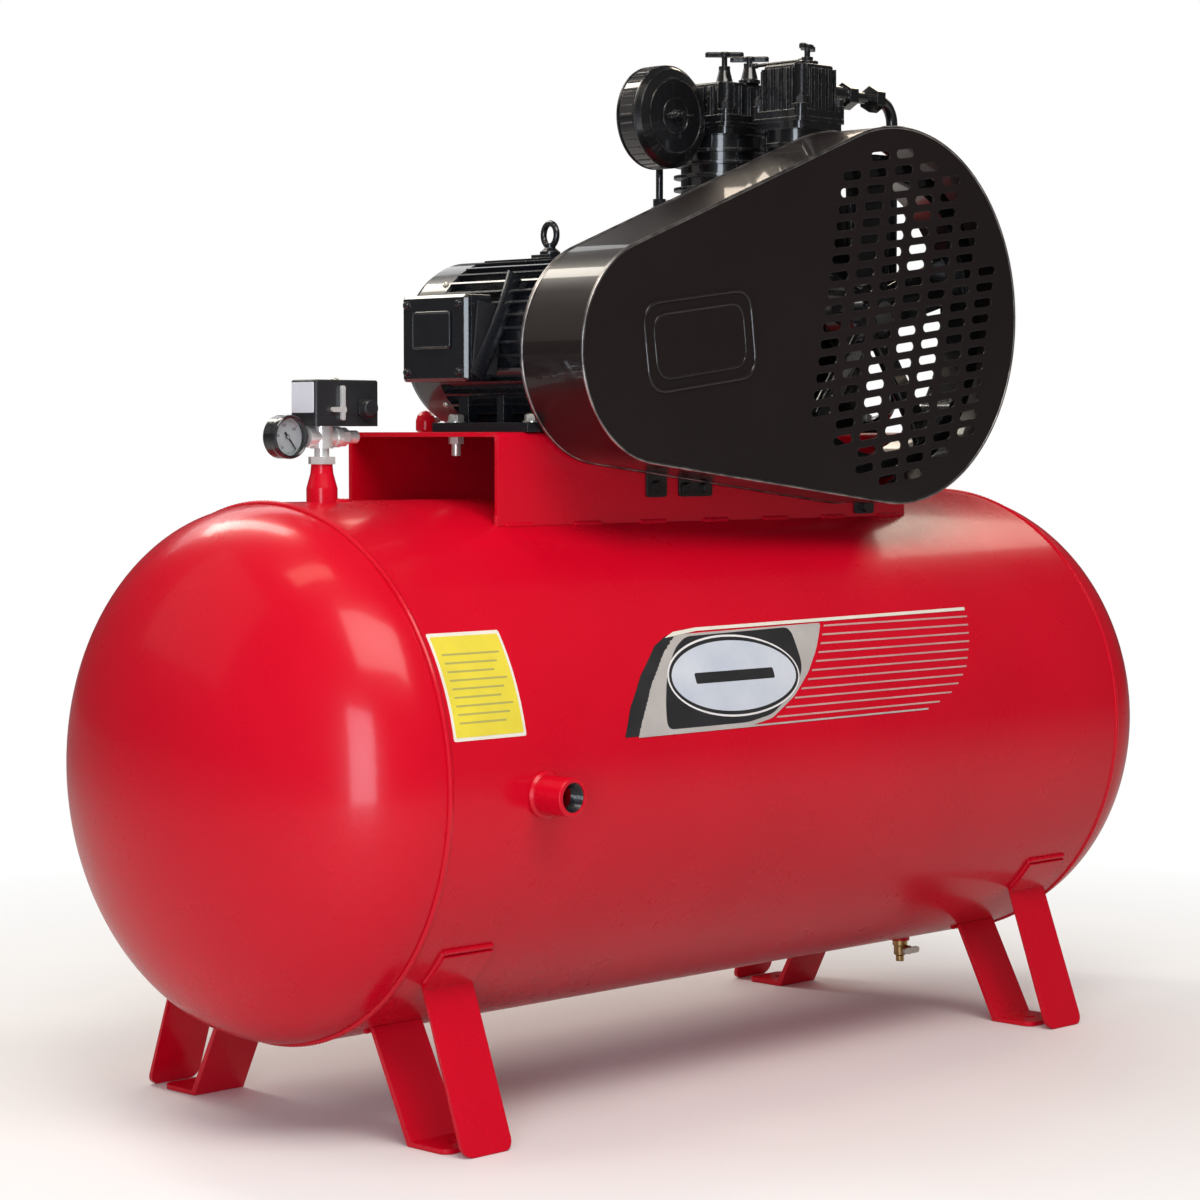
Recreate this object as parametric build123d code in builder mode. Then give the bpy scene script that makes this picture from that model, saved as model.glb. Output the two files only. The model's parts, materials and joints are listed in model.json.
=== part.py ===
from build123d import *

import os
from math import atan2, cos, degrees, hypot, radians, sin, sqrt, acos

# Belt-driven air compressor: a horizontal receiver on four strap legs, a channel platform welded
# on top, and on it an electric motor, a two-stage piston pump, and a belt guard in front.
# Frame: +X along the receiver, -Y the guard's side, +Z up; the origin is on the floor, at the
# centre of the four foot holes.

# --- Driving dimensions, mm -------------------------------------------------------------------
TANK_R = 325.0
TANK_WALL = 5.0
TANK_LENGTH = 1275.0
TANK_Z = 426.0
HEAD_DEPTH = 180.0
HEAD_STEP = 2.0

LEG_X = 556.0
LEG_WIDTH = 78.0
STRAP = 6.0
FOOT_Y = 300.0
FOOT_FLANGE_Y = (203.0, 268.0)
FOOT_HOLE_Y = 238.0
FOOT_HOLE_R = 7.0

PLATE_TOP = 835.0
PLATE = 6.0
PLATFORM_X = 389.0
PLATFORM_Y = 139.0

MOTOR_X = -215.0
MOTOR_Z = 947.0
MOTOR_Y = -48.0
MOTOR_BOLT_DX = 95.0
MOTOR_BOLT_DY = 70.0
MOTOR_FRONT = -120.0
MOTOR_BACK = 50.0
STATOR_R = 92.0
ROTOR_R = 61.0
MOTOR_SHAFT_R = 14.0

CRANK_X = 244.0
CRANK_Z = 990.0
CRANK_R = 24.0
JOURNAL_R = 20.0
PIN_R = 18.0
FIRST_Y = 70.0
SECOND_Y = -68.0
ROD_LENGTH = 200.0

PULLEY_R = 70.0
FLYWHEEL_R = 215.0
BELT_Y = (-184.0, -204.0)
WHEEL_FRONT = -219.0
WHEEL_BACK = -169.0
GROOVE_HALF = 7.5
GROOVE_DEPTH = 13.0
GROOVE_SLOPE = 0.325
BELT_GAP = 0.45
BELT_DEPTH = 4.0
BELT_HALF_HEIGHT = 5.0

GUARD_FRONT = -250.0
GUARD_BACK = -142.0
GUARD_SHEET = 2.0
GUARD_SMALL = (-215.0, 934.0, 139.0)
GUARD_LARGE = (244.0, 990.0, 250.0)

CASE_X = (154.0, 334.0)
CASE_Y = (-122.0, 138.0)
CASE_Z = (848.0, 1150.0)
CASE_WALL = 8.0
DECK_Z = 1150.0
CYLINDER_TOP = 1256.0
HEAD_Z = 1262.0
FIRST_BORE = 52.5
SECOND_BORE = 40.0
FIRST_HEAD_TOP = 1318.0
SECOND_HEAD_TOP = 1335.0

MANIFOLD_X = -551.0
MANIFOLD_Z = 829.0
GAUGE_X = -609.0
OUTLET_X = -490.0
OUTLET_Z = 415.0
OUTLET_BORE_R = 17.5
RELIEF_X = -233.0
RELIEF_Y = 165.0
CHECK_X = 430.0
DRAIN_X = 555.0


# --- Working planes and small operations --------------------------------------------------------
def front_plane(y):
    """Upright plane at y, drawn in (X, Z); extrusions go towards -Y."""
    return Plane(origin=(0, y, 0), x_dir=(1, 0, 0), z_dir=(0, -1, 0))


def side_plane(x):
    """Upright plane at x, drawn in (Y, Z); extrusions go towards +X."""
    return Plane(origin=(x, 0, 0), x_dir=(0, 1, 0), z_dir=(1, 0, 0))


def level(z):
    """Level plane at z, drawn in (X, Y); extrusions go up."""
    return Plane.XY.offset(z)


def turn_y(x, z, profile, mode=Mode.ADD):
    """Turns a profile of (radius, y) points about the line through (x, z) along Y."""
    with BuildSketch(Plane(origin=(x, 0, z))) as outline:
        with BuildLine():
            Polyline(*profile, close=True)
        make_face()
    revolve(outline.sketch, axis=Axis((x, 0, z), (0, 1, 0)), mode=mode)


def turn_z(x, y, profile, mode=Mode.ADD):
    """Turns a profile of (radius, z) points about the upright line through (x, y)."""
    with BuildSketch(Plane(origin=(x, y, 0), x_dir=(1, 0, 0), z_dir=(0, -1, 0))) as outline:
        with BuildLine():
            Polyline(*profile, close=True)
        make_face()
    revolve(outline.sketch, axis=Axis((x, y, 0), (0, 0, 1)), mode=mode)


def turn_x(y, z, profile, mode=Mode.ADD):
    """Turns a profile of (x, radius) points about the line through (y, z) along X."""
    with BuildSketch(Plane(origin=(0, y, z), x_dir=(1, 0, 0), z_dir=(0, -1, 0))) as outline:
        with BuildLine():
            Polyline(*profile, close=True)
        make_face()
    revolve(outline.sketch, axis=Axis((0, y, z), (1, 0, 0)), mode=mode)


def rod(start, direction, radius, length, mode=Mode.ADD):
    """A round bar, or with Mode.SUBTRACT a drilled hole, from start along direction."""
    with Locations(Plane(origin=start, z_dir=direction)):
        Cylinder(radius, length, align=(Align.CENTER, Align.CENTER, Align.MIN), mode=mode)


def block(x, y, z, mode=Mode.ADD):
    """A rectangular block between pairs of limits on X, Y and Z."""
    with Locations(((x[0] + x[1]) / 2, (y[0] + y[1]) / 2, (z[0] + z[1]) / 2)):
        Box(x[1] - x[0], y[1] - y[0], z[1] - z[0], mode=mode)


def nut(start, direction, across_flats, length, mode=Mode.ADD):
    """A hexagonal prism from start along direction."""
    with BuildSketch(Plane(origin=start, z_dir=direction)) as hexagon:
        RegularPolygon(across_flats / 2, 6, major_radius=False)
    extrude(hexagon.sketch, amount=length, mode=mode)


def pipe(points, bends, radius, bore=0.0, mode=Mode.ADD):
    """A round tube along straight runs joined by bends of the given radii."""
    with BuildLine() as route:
        FilletPolyline(*points, radius=bends)
    start = route.wire() ^ 0
    with BuildSketch(Plane(origin=start.position, z_dir=route.wire() % 0)) as section:
        Circle(radius)
        if bore:
            Circle(bore, mode=Mode.SUBTRACT)
    sweep(section.sketch, path=route.wire(), mode=mode)


def tank_surface(y):
    """Height of the receiver's upper surface at y."""
    return TANK_Z + sqrt(TANK_R**2 - y**2)


def cut_tank():
    """Trims the piece being built to the receiver's outer surface."""
    rod((-TANK_LENGTH / 2, 0, TANK_Z), (1, 0, 0), TANK_R, TANK_LENGTH, Mode.SUBTRACT)


pieces = {}

# --- Receiver ---------------------------------------------------------------------------------
MANIFOLD_SPIGOT_R = 19.0
RELIEF_SPIGOT_R = 12.0
CHECK_SPIGOT_R = 17.0
DRAIN_SPIGOT_R = 14.0
OUTLET_SPIGOT_R = 23.0
SPIGOT_DEPTH = 8.0
tank_top = TANK_Z + TANK_R
tank_bottom = TANK_Z - TANK_R
relief_foot = tank_surface(RELIEF_Y) - 2 * SPIGOT_DEPTH

with BuildPart() as tank_shell:
    with BuildSketch(side_plane(-TANK_LENGTH / 2)):
        with Locations((0, TANK_Z)):
            Circle(TANK_R)
            Circle(TANK_R - TANK_WALL, mode=Mode.SUBTRACT)
    extrude(amount=TANK_LENGTH)
    rod((MANIFOLD_X, 0, TANK_Z), (0, 0, 1), MANIFOLD_SPIGOT_R, TANK_R + 10, Mode.SUBTRACT)
    rod((CHECK_X, 0, TANK_Z), (0, 0, 1), CHECK_SPIGOT_R, TANK_R + 10, Mode.SUBTRACT)
    rod((RELIEF_X, RELIEF_Y, TANK_Z), (0, 0, 1), RELIEF_SPIGOT_R, TANK_R + 10, Mode.SUBTRACT)
    rod((DRAIN_X, 0, TANK_Z), (0, 0, -1), DRAIN_SPIGOT_R, TANK_R + 10, Mode.SUBTRACT)
    rod((OUTLET_X, 0, OUTLET_Z), (0, -1, 0), OUTLET_SPIGOT_R, TANK_R + 10, Mode.SUBTRACT)
pieces["tank_shell"] = tank_shell

head_plane = Plane(origin=(TANK_LENGTH / 2, 0, TANK_Z), x_dir=(1, 0, 0), z_dir=(0, -1, 0))
head_rim = TANK_R - HEAD_STEP
with BuildPart() as tank_head_right:
    with BuildSketch(head_plane):
        with BuildLine():
            EllipticalCenterArc((0, 0), HEAD_DEPTH, head_rim, start_angle=0, arc_size=90)
            Line((0, head_rim), (0, head_rim - TANK_WALL))
            EllipticalCenterArc(
                (0, 0), HEAD_DEPTH - TANK_WALL, head_rim - TANK_WALL, start_angle=0, arc_size=90
            )
            Line((HEAD_DEPTH - TANK_WALL, 0), (HEAD_DEPTH, 0))
        make_face()
    revolve(axis=Axis((0, 0, TANK_Z), (1, 0, 0)))
pieces["tank_head_right"] = tank_head_right

with BuildPart() as tank_head_left:
    add(mirror(tank_head_right.part, about=Plane.YZ, mode=Mode.PRIVATE))
pieces["tank_head_left"] = tank_head_left

# Welded-in bungs: the manifold's bell reducer, the check valve's, the relief riser's and the drain's.
with BuildPart() as tank_bungs:
    turn_z(
        MANIFOLD_X,
        0,
        [
            (8, tank_top - SPIGOT_DEPTH),
            (MANIFOLD_SPIGOT_R, tank_top - SPIGOT_DEPTH),
            (MANIFOLD_SPIGOT_R, tank_top + 16),
            (14, tank_top + 34),
            (13, tank_top + 45),
            (8, tank_top + 45),
        ],
    )
    turn_z(
        CHECK_X,
        0,
        [
            (9, tank_top - SPIGOT_DEPTH),
            (CHECK_SPIGOT_R, tank_top - SPIGOT_DEPTH),
            (CHECK_SPIGOT_R, tank_top + 12),
            (9, tank_top + 12),
        ],
    )
    turn_z(
        RELIEF_X,
        RELIEF_Y,
        [
            (6, relief_foot),
            (RELIEF_SPIGOT_R, relief_foot),
            (RELIEF_SPIGOT_R, tank_surface(RELIEF_Y) + 20),
            (6, tank_surface(RELIEF_Y) + 20),
        ],
    )
    turn_z(
        DRAIN_X,
        0,
        [
            (7, tank_bottom + SPIGOT_DEPTH),
            (DRAIN_SPIGOT_R, tank_bottom + SPIGOT_DEPTH),
            (DRAIN_SPIGOT_R, tank_bottom - 12),
            (7, tank_bottom - 12),
        ],
    )

# Service outlet on the front: a threaded half coupling on a welded collar.
OUTLET_REACH = 47.0
OUTLET_COLLAR_R = 28.0
outlet_tip = -(TANK_R + OUTLET_REACH)
with BuildPart() as outlet_bung:
    rod((OUTLET_X, -(TANK_R + 6), OUTLET_Z), (0, 1, 0), OUTLET_COLLAR_R, 10)
    chamfer(edges().group_by(Axis.Y)[0], 3)
    cut_tank()
    rod((OUTLET_X, outlet_tip, OUTLET_Z), (0, 1, 0), OUTLET_SPIGOT_R, OUTLET_REACH + SPIGOT_DEPTH)
    fillet(edges().group_by(Axis.Y)[0], 2)
    rod((OUTLET_X, outlet_tip, OUTLET_Z), (0, 1, 0), OUTLET_BORE_R, 80, Mode.SUBTRACT)
with tank_bungs:
    add(outlet_bung.part)
pieces["tank_bungs"] = tank_bungs

# --- Legs -------------------------------------------------------------------------------------
STRAP_TOP_Y = 226.0
TAB_END_Y = 261.0
BRACE_TOP_Y = 134.0
BRACE_FOOT_Y = 207.0
CORNER_R = 14.0


def leg(side_x, side_y):
    """Two splayed straps: an outer one with a tab bent onto the tank, an inner one with a foot."""
    inner_x = side_x * LEG_X - LEG_WIDTH / 2
    y = -side_y
    tab_mid_y = (STRAP_TOP_Y + TAB_END_Y) / 2
    lower = TANK_Z - sqrt(TANK_R**2 - STRAP_TOP_Y**2)
    upper = TANK_Z - sqrt(TANK_R**2 - TAB_END_Y**2)
    middle = TANK_Z - sqrt(TANK_R**2 - tab_mid_y**2)
    grow = (TANK_R + STRAP) / TANK_R
    outer_low = (STRAP_TOP_Y * grow, TANK_Z + (lower - TANK_Z) * grow)
    outer_mid = (tab_mid_y * grow, TANK_Z + (middle - TANK_Z) * grow)
    outer_high = (TAB_END_Y * grow, TANK_Z + (upper - TANK_Z) * grow)
    brace_top = TANK_Z - sqrt(TANK_R**2 - BRACE_TOP_Y**2) + 3
    with BuildPart() as straps:
        with BuildSketch(side_plane(inner_x)):
            with BuildLine():
                Line((-y * STRAP_TOP_Y, lower), (-y * (FOOT_Y - STRAP), 0))
                Line((-y * (FOOT_Y - STRAP), 0), (-y * FOOT_Y, 0))
                Line((-y * FOOT_Y, 0), (-y * outer_low[0], outer_low[1]))
                ThreePointArc(
                    (-y * outer_low[0], outer_low[1]),
                    (-y * outer_mid[0], outer_mid[1]),
                    (-y * outer_high[0], outer_high[1]),
                )
                Line((-y * outer_high[0], outer_high[1]), (-y * TAB_END_Y, upper))
                ThreePointArc(
                    (-y * TAB_END_Y, upper), (-y * tab_mid_y, middle), (-y * STRAP_TOP_Y, lower)
                )
            make_face()
        extrude(amount=LEG_WIDTH)
        fillet(edges().group_by(Axis.Z)[0].filter_by(Axis.Y), CORNER_R)
        with BuildSketch(side_plane(inner_x)):
            with BuildLine():
                Polyline(
                    (-y * BRACE_TOP_Y, brace_top),
                    (-y * (BRACE_FOOT_Y - STRAP), 0),
                    (-y * FOOT_FLANGE_Y[1], 0),
                    (-y * FOOT_FLANGE_Y[1], STRAP),
                    (-y * BRACE_FOOT_Y, STRAP),
                    (-y * (BRACE_TOP_Y + STRAP), brace_top),
                    close=True,
                )
            make_face()
        extrude(amount=LEG_WIDTH)
        cut_tank()
        flange_edges = edges().filter_by(Axis.Z).filter_by(
            lambda edge: abs(abs(edge.center().Y) - FOOT_FLANGE_Y[1]) < 0.1
        )
        fillet(flange_edges, CORNER_R)
        rod((side_x * LEG_X, -y * FOOT_HOLE_Y, -1), (0, 0, 1), FOOT_HOLE_R, STRAP + 2, Mode.SUBTRACT)
    return straps


pieces["leg_front_left"] = leg(-1, -1)
pieces["leg_front_right"] = leg(1, -1)
pieces["leg_rear_left"] = leg(-1, 1)
pieces["leg_rear_right"] = leg(1, 1)

# --- Platform ---------------------------------------------------------------------------------
PUMP_BOLT_DX = 105.0
PUMP_BOLT_Y = (-100.0, 116.0)
MOTOR_SLOT = 44.0
BOLT_R = 5.9
BOLT_HOLE_R = 6.5
motor_bolt_y = (MOTOR_Y - MOTOR_BOLT_DY, MOTOR_Y + MOTOR_BOLT_DY)
motor_bolts = [(MOTOR_X + dx, y) for dx in (-MOTOR_BOLT_DX, MOTOR_BOLT_DX) for y in motor_bolt_y]
pump_bolts = [(CRANK_X + dx, y) for dx in (-PUMP_BOLT_DX, PUMP_BOLT_DX) for y in PUMP_BOLT_Y]

with BuildPart() as platform:
    with BuildSketch(side_plane(-PLATFORM_X)):
        with BuildLine():
            Polyline(
                (-PLATFORM_Y, 700),
                (-PLATFORM_Y, PLATE_TOP),
                (PLATFORM_Y, PLATE_TOP),
                (PLATFORM_Y, 700),
                (PLATFORM_Y - PLATE, 700),
                (PLATFORM_Y - PLATE, PLATE_TOP - PLATE),
                (PLATE - PLATFORM_Y, PLATE_TOP - PLATE),
                (PLATE - PLATFORM_Y, 700),
                close=True,
            )
        make_face()
        fillet(vertices().group_by(Axis.Y)[-1], 9)
        under = PLATE_TOP - PLATE
        fillet(vertices().filter_by_position(Axis.Y, under - 1, under + 1), 3)
    extrude(amount=2 * PLATFORM_X)
    cut_tank()
    with BuildSketch(level(PLATE_TOP)):
        with Locations(*motor_bolts):
            SlotOverall(MOTOR_SLOT, 2 * BOLT_HOLE_R)
        with Locations(*pump_bolts):
            Circle(BOLT_HOLE_R)
    extrude(amount=-PLATE, mode=Mode.SUBTRACT)
pieces["platform"] = platform

# --- Motor ------------------------------------------------------------------------------------
FIN_R = 110.0
FRAME_R = 99.0
FIN_COUNT = 40
FOOT_PAD_TOP = 847.0
BELL_R = 106.0
BEARING_R = 31.0
BEARING_PLAY = 0.03
FOOT_OUT = 124.0
FOOT_IN = 62.0
FOOT_Y = (-139.0, 35.0)
FOOT_WEB = 18.0
FOOT_WEBS_Y = ((-119, -99), (15, 33), (-50, -38))
FOOT_WEB_TOP = 900.0
CONDUIT_PAD_X = (MOTOR_X - 112, MOTOR_X - 90)
CONDUIT_PAD_Z = (912.0, 992.0)
EYE_BOSS_X = (MOTOR_X - 17, MOTOR_X + 17)
EYE_BOSS_Y = (MOTOR_Y - 21, MOTOR_Y + 13)
EYE_BOSS_Z = (MOTOR_Z + 90, MOTOR_Z + 113)

with BuildPart() as motor_frame:
    with BuildSketch(front_plane(MOTOR_BACK)):
        with Locations((MOTOR_X, MOTOR_Z)):
            Circle(FRAME_R)
            with PolarLocations((FRAME_R + FIN_R) / 2 - 1, FIN_COUNT):
                Rectangle(FIN_R - FRAME_R + 2, 3.2)
    extrude(amount=MOTOR_BACK - MOTOR_FRONT)
    for side in (-1, 1):
        outer = MOTOR_X + side * FOOT_OUT
        inner = MOTOR_X + side * FOOT_IN
        block(sorted((inner, outer)), FOOT_Y, (PLATE_TOP, FOOT_PAD_TOP))
        web = sorted((inner, MOTOR_X + side * (FOOT_IN + FOOT_WEB)))
        for web_y in FOOT_WEBS_Y:
            block(web, web_y, (FOOT_PAD_TOP, FOOT_WEB_TOP))
    block(CONDUIT_PAD_X, (-40, 36), CONDUIT_PAD_Z)
    block(EYE_BOSS_X, EYE_BOSS_Y, EYE_BOSS_Z)
    rod((MOTOR_X, MOTOR_BACK + 1, MOTOR_Z), (0, -1, 0), STATOR_R, 200, Mode.SUBTRACT)
    rod((MOTOR_X, MOTOR_Y - 4, MOTOR_Z + 80), (0, 0, 1), 6, 60, Mode.SUBTRACT)
    with Locations(*[(x, y, FOOT_PAD_TOP) for x, y in motor_bolts]):
        Cylinder(BOLT_HOLE_R, 60, mode=Mode.SUBTRACT)
pieces["motor_frame"] = motor_frame


def bell_profile(face, outward):
    """Dished end bell from the frame's end face: outward is -1 for the front, +1 for the back."""
    depths = [
        (15, 30), (36, 30), (40, 26), (80, 20), (103, 9), (BELL_R, 5), (BELL_R, 0),
        (STATOR_R, 0), (STATOR_R, 6), (76, 12), (BEARING_R, 12), (BEARING_R, 27), (15, 27),
    ]
    return [(radius, face + outward * depth) for radius, depth in depths]


with BuildPart() as motor_end_bells:
    turn_y(MOTOR_X, MOTOR_Z, bell_profile(MOTOR_FRONT, -1))
    turn_y(MOTOR_X, MOTOR_Z, bell_profile(MOTOR_BACK, 1))
pieces["motor_end_bells"] = motor_end_bells

COVER_BACK = 114.0
GRILLE_ROWS = ((34, 10), (58, 16), (80, 22))
GRILLE_SLOT = (17.0, 7.0)
with BuildPart() as fan_cover:
    turn_y(
        MOTOR_X,
        MOTOR_Z,
        [
            (BELL_R, MOTOR_BACK + 1), (BELL_R + 2, MOTOR_BACK + 1), (BELL_R + 2, COVER_BACK - 14),
            (BELL_R - 2, COVER_BACK - 4), (BELL_R - 12, COVER_BACK), (0, COVER_BACK),
            (0, COVER_BACK - 2), (BELL_R - 13, COVER_BACK - 2), (BELL_R - 4, COVER_BACK - 6),
            (BELL_R, COVER_BACK - 15),
        ],
    )
    for row_radius, row_count in GRILLE_ROWS:
        with BuildSketch(front_plane(COVER_BACK + 1)):
            with Locations((MOTOR_X, MOTOR_Z)):
                with PolarLocations(row_radius, row_count):
                    SlotOverall(*GRILLE_SLOT)
        extrude(amount=5, mode=Mode.SUBTRACT)
pieces["fan_cover"] = fan_cover

STATOR_FRONT = -85.0
STATOR_BACK = 25.0
with BuildPart() as stator:
    turn_y(
        MOTOR_X,
        MOTOR_Z,
        [
            (ROTOR_R + 0.5, STATOR_FRONT + 18), (STATOR_R - 18, STATOR_FRONT + 18),
            (STATOR_R - 18, STATOR_FRONT), (STATOR_R, STATOR_FRONT), (STATOR_R, STATOR_BACK),
            (STATOR_R - 18, STATOR_BACK), (STATOR_R - 18, STATOR_BACK - 18),
            (ROTOR_R + 0.5, STATOR_BACK - 18),
        ],
    )
pieces["stator"] = stator

SHAFT_FRONT = -226.0
SHAFT_BACK = 104.0
with BuildPart() as motor_rotor:
    rod((MOTOR_X, SHAFT_FRONT, MOTOR_Z), (0, 1, 0), MOTOR_SHAFT_R, SHAFT_BACK - SHAFT_FRONT)
    chamfer(edges().group_by(Axis.Y)[0], 1.5)
    rod((MOTOR_X, STATOR_FRONT + 18, MOTOR_Z), (0, 1, 0), ROTOR_R, STATOR_BACK - STATOR_FRONT - 36)
pieces["motor_rotor"] = motor_rotor

FAN_Y = 86.0
with BuildPart() as cooling_fan:
    turn_y(
        MOTOR_X,
        MOTOR_Z,
        [(MOTOR_SHAFT_R, FAN_Y - 4), (26, FAN_Y - 4), (26, FAN_Y), (60, FAN_Y), (60, FAN_Y + 3),
         (24, FAN_Y + 3), (24, FAN_Y + 16), (MOTOR_SHAFT_R, FAN_Y + 16)],
    )
    with BuildSketch(front_plane(FAN_Y + 16)):
        with Locations((MOTOR_X, MOTOR_Z)):
            with PolarLocations(57, 9):
                Rectangle(70, 3)
    extrude(amount=16)
pieces["cooling_fan"] = cooling_fan


# --- Belt drive -------------------------------------------------------------------------------
def grooves(x, z, radius):
    """Cuts the two belt grooves into a wheel's rim."""
    for y in BELT_Y:
        half_root = GROOVE_HALF - GROOVE_DEPTH * GROOVE_SLOPE
        half_lip = GROOVE_HALF + 2 * GROOVE_SLOPE
        turn_y(
            x,
            z,
            [
                (radius - GROOVE_DEPTH, y - half_root), (radius + 2, y - half_lip),
                (radius + 2, y + half_lip), (radius - GROOVE_DEPTH, y + half_root),
            ],
            Mode.SUBTRACT,
        )


with BuildPart() as motor_pulley:
    turn_y(
        MOTOR_X,
        MOTOR_Z,
        [
            (MOTOR_SHAFT_R, WHEEL_FRONT), (30, WHEEL_FRONT), (30, WHEEL_FRONT + 8),
            (50, WHEEL_FRONT + 8),
            (50, WHEEL_FRONT), (PULLEY_R, WHEEL_FRONT), (PULLEY_R, WHEEL_BACK), (50, WHEEL_BACK),
            (50, WHEEL_BACK - 8), (32, WHEEL_BACK - 8), (32, WHEEL_BACK + 8),
            (MOTOR_SHAFT_R, WHEEL_BACK + 8),
        ],
    )
    grooves(MOTOR_X, MOTOR_Z, PULLEY_R)
pieces["motor_pulley"] = motor_pulley

RIM_R = 186.0
HUB_R = 46.0
ARM_COUNT = 5
ARM_TILT = 28.0
HUB_FRONT = -214.0
ARM_MIDDLE_Y = -194.0
ARM_ROOT_WIDTH = 54.0
ARM_TIP_WIDTH = 66.0
ARM_THICKNESS = 13.0
with BuildPart() as flywheel:
    turn_y(
        CRANK_X,
        CRANK_Z,
        [
            (RIM_R, WHEEL_FRONT), (FLYWHEEL_R, WHEEL_FRONT), (FLYWHEEL_R, WHEEL_BACK),
            (RIM_R, WHEEL_BACK),
        ],
    )
    grooves(CRANK_X, CRANK_Z, FLYWHEEL_R)
    turn_y(
        CRANK_X,
        CRANK_Z,
        [(5, HUB_FRONT), (HUB_R - 8, HUB_FRONT), (HUB_R, HUB_FRONT + 8), (HUB_R, -152), (5, -152)],
    )
    for index in range(ARM_COUNT):
        angle = radians(90 + 360 / ARM_COUNT * index)
        radial = Vector(cos(angle), 0, sin(angle))
        around = Vector(-sin(angle), 0, cos(angle))
        blade = around * cos(radians(ARM_TILT)) + Vector(0, sin(radians(ARM_TILT)), 0)
        arm_root = Vector(CRANK_X, ARM_MIDDLE_Y, CRANK_Z) + radial * (HUB_R - 14)
        with BuildSketch(Plane(origin=arm_root, x_dir=blade, z_dir=radial)):
            RectangleRounded(ARM_ROOT_WIDTH, ARM_THICKNESS, 5)
        arm_tip = arm_root + radial * (RIM_R - HUB_R + 16)
        with BuildSketch(Plane(origin=arm_tip, x_dir=blade, z_dir=radial)):
            RectangleRounded(ARM_TIP_WIDTH, ARM_THICKNESS, 5)
        loft()
    rod((CRANK_X, -240, CRANK_Z), (0, 1, 0), JOURNAL_R, 100, Mode.SUBTRACT)
    nut((CRANK_X, HUB_FRONT, CRANK_Z), (0, -1, 0), 55, 10)
    rod((CRANK_X, -240, CRANK_Z), (0, 1, 0), JOURNAL_R, 100, Mode.SUBTRACT)
pieces["flywheel"] = flywheel

# Each belt runs straight between the wheels and bends round them, with the same section all along.
belt_small = PULLEY_R - BELT_DEPTH
belt_large = FLYWHEEL_R - BELT_DEPTH
span_x = CRANK_X - MOTOR_X
span_z = CRANK_Z - MOTOR_Z
span = hypot(span_x, span_z)
span_angle = atan2(span_z, span_x)
wrap_half = acos(-(belt_large - belt_small) / span)
run_length = sqrt(span**2 - (belt_large - belt_small) ** 2)
motor_centre = Vector(MOTOR_X, 0, MOTOR_Z)
crank_centre = Vector(CRANK_X, 0, CRANK_Z)


def belt_section(centre, radius, angle, y):
    """Plane across the belt where it leaves a wheel, square to its run."""
    outward = Vector(cos(angle), 0, sin(angle))
    along = Vector(sin(angle), 0, -cos(angle))
    place = centre + outward * radius + Vector(0, y, 0)
    return Plane(origin=place, x_dir=(0, 1, 0), z_dir=along)


def half_width(depth):
    """Half the belt's width at a depth below the wheel's rim."""
    return GROOVE_HALF - depth * GROOVE_SLOPE - BELT_GAP


with BuildPart() as v_belts:
    wide = half_width(BELT_DEPTH - BELT_HALF_HEIGHT)
    narrow = half_width(BELT_DEPTH + BELT_HALF_HEIGHT)
    corners = [
        (-wide, BELT_HALF_HEIGHT), (wide, BELT_HALF_HEIGHT),
        (narrow, -BELT_HALF_HEIGHT), (-narrow, -BELT_HALF_HEIGHT),
    ]
    for y in BELT_Y:
        for centre, radius, angle, other in (
            (motor_centre, belt_small, span_angle + wrap_half, (crank_centre, wrap_half)),
            (crank_centre, belt_large, span_angle - wrap_half, (motor_centre, radians(180) - wrap_half)),
        ):
            with BuildSketch(belt_section(centre, radius, angle, y)) as start:
                Polygon(*corners, align=None)
            extrude(start.sketch, amount=run_length)
            turn_centre, half_turn = other
            turn_radius = belt_large if turn_centre is crank_centre else belt_small
            with BuildSketch(belt_section(turn_centre, turn_radius, angle, y)) as bend:
                Polygon(*corners, align=None)
            revolve(
                bend.sketch,
                axis=Axis(turn_centre, (0, 1, 0)),
                revolution_arc=degrees(2 * half_turn),
            )
pieces["v_belts"] = v_belts


# --- Belt guard -------------------------------------------------------------------------------
def guard_outline(inset):
    """Outline round the two wheels, inset from the guard's outside."""
    for x, z, radius in (GUARD_SMALL, GUARD_LARGE):
        with Locations((x, z)):
            Circle(radius - inset)
    make_hull(edges())


SLOT_LENGTH = 38.0
SLOT_WIDTH = 11.5
SLOT_PITCH_U = 53.0
SLOT_PITCH_V = 22.0
SLOT_TILT = 7.3
SLOT_LEAN = 11.2
SLOT_FIELD_R = 216.0
SLOT_ROWS = 20
SLOT_COLUMNS = 8
SLOT_FIRST_RUN = -140.0
SLOT_FIELD_MARGIN = 8.0
slot_row = (cos(radians(SLOT_TILT)), sin(radians(SLOT_TILT)))
slot_column = (sin(radians(SLOT_LEAN)), cos(radians(SLOT_LEAN)))


def slot_places():
    """Centres of the ventilation slots, inside the large round end."""
    places = []
    for row in range(SLOT_ROWS + 1):
        rise = (row - SLOT_ROWS / 2) * SLOT_PITCH_V / slot_column[1]
        for column in range(SLOT_COLUMNS):
            run = SLOT_FIRST_RUN + column * SLOT_PITCH_U
            u = run * slot_row[0] + rise * slot_column[0]
            v = run * slot_row[1] + rise * slot_column[1]
            if hypot(abs(u) + SLOT_LENGTH / 2, v) < SLOT_FIELD_R + SLOT_FIELD_MARGIN:
                places.append((GUARD_LARGE[0] + u, GUARD_LARGE[1] + v))
    return places


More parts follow.
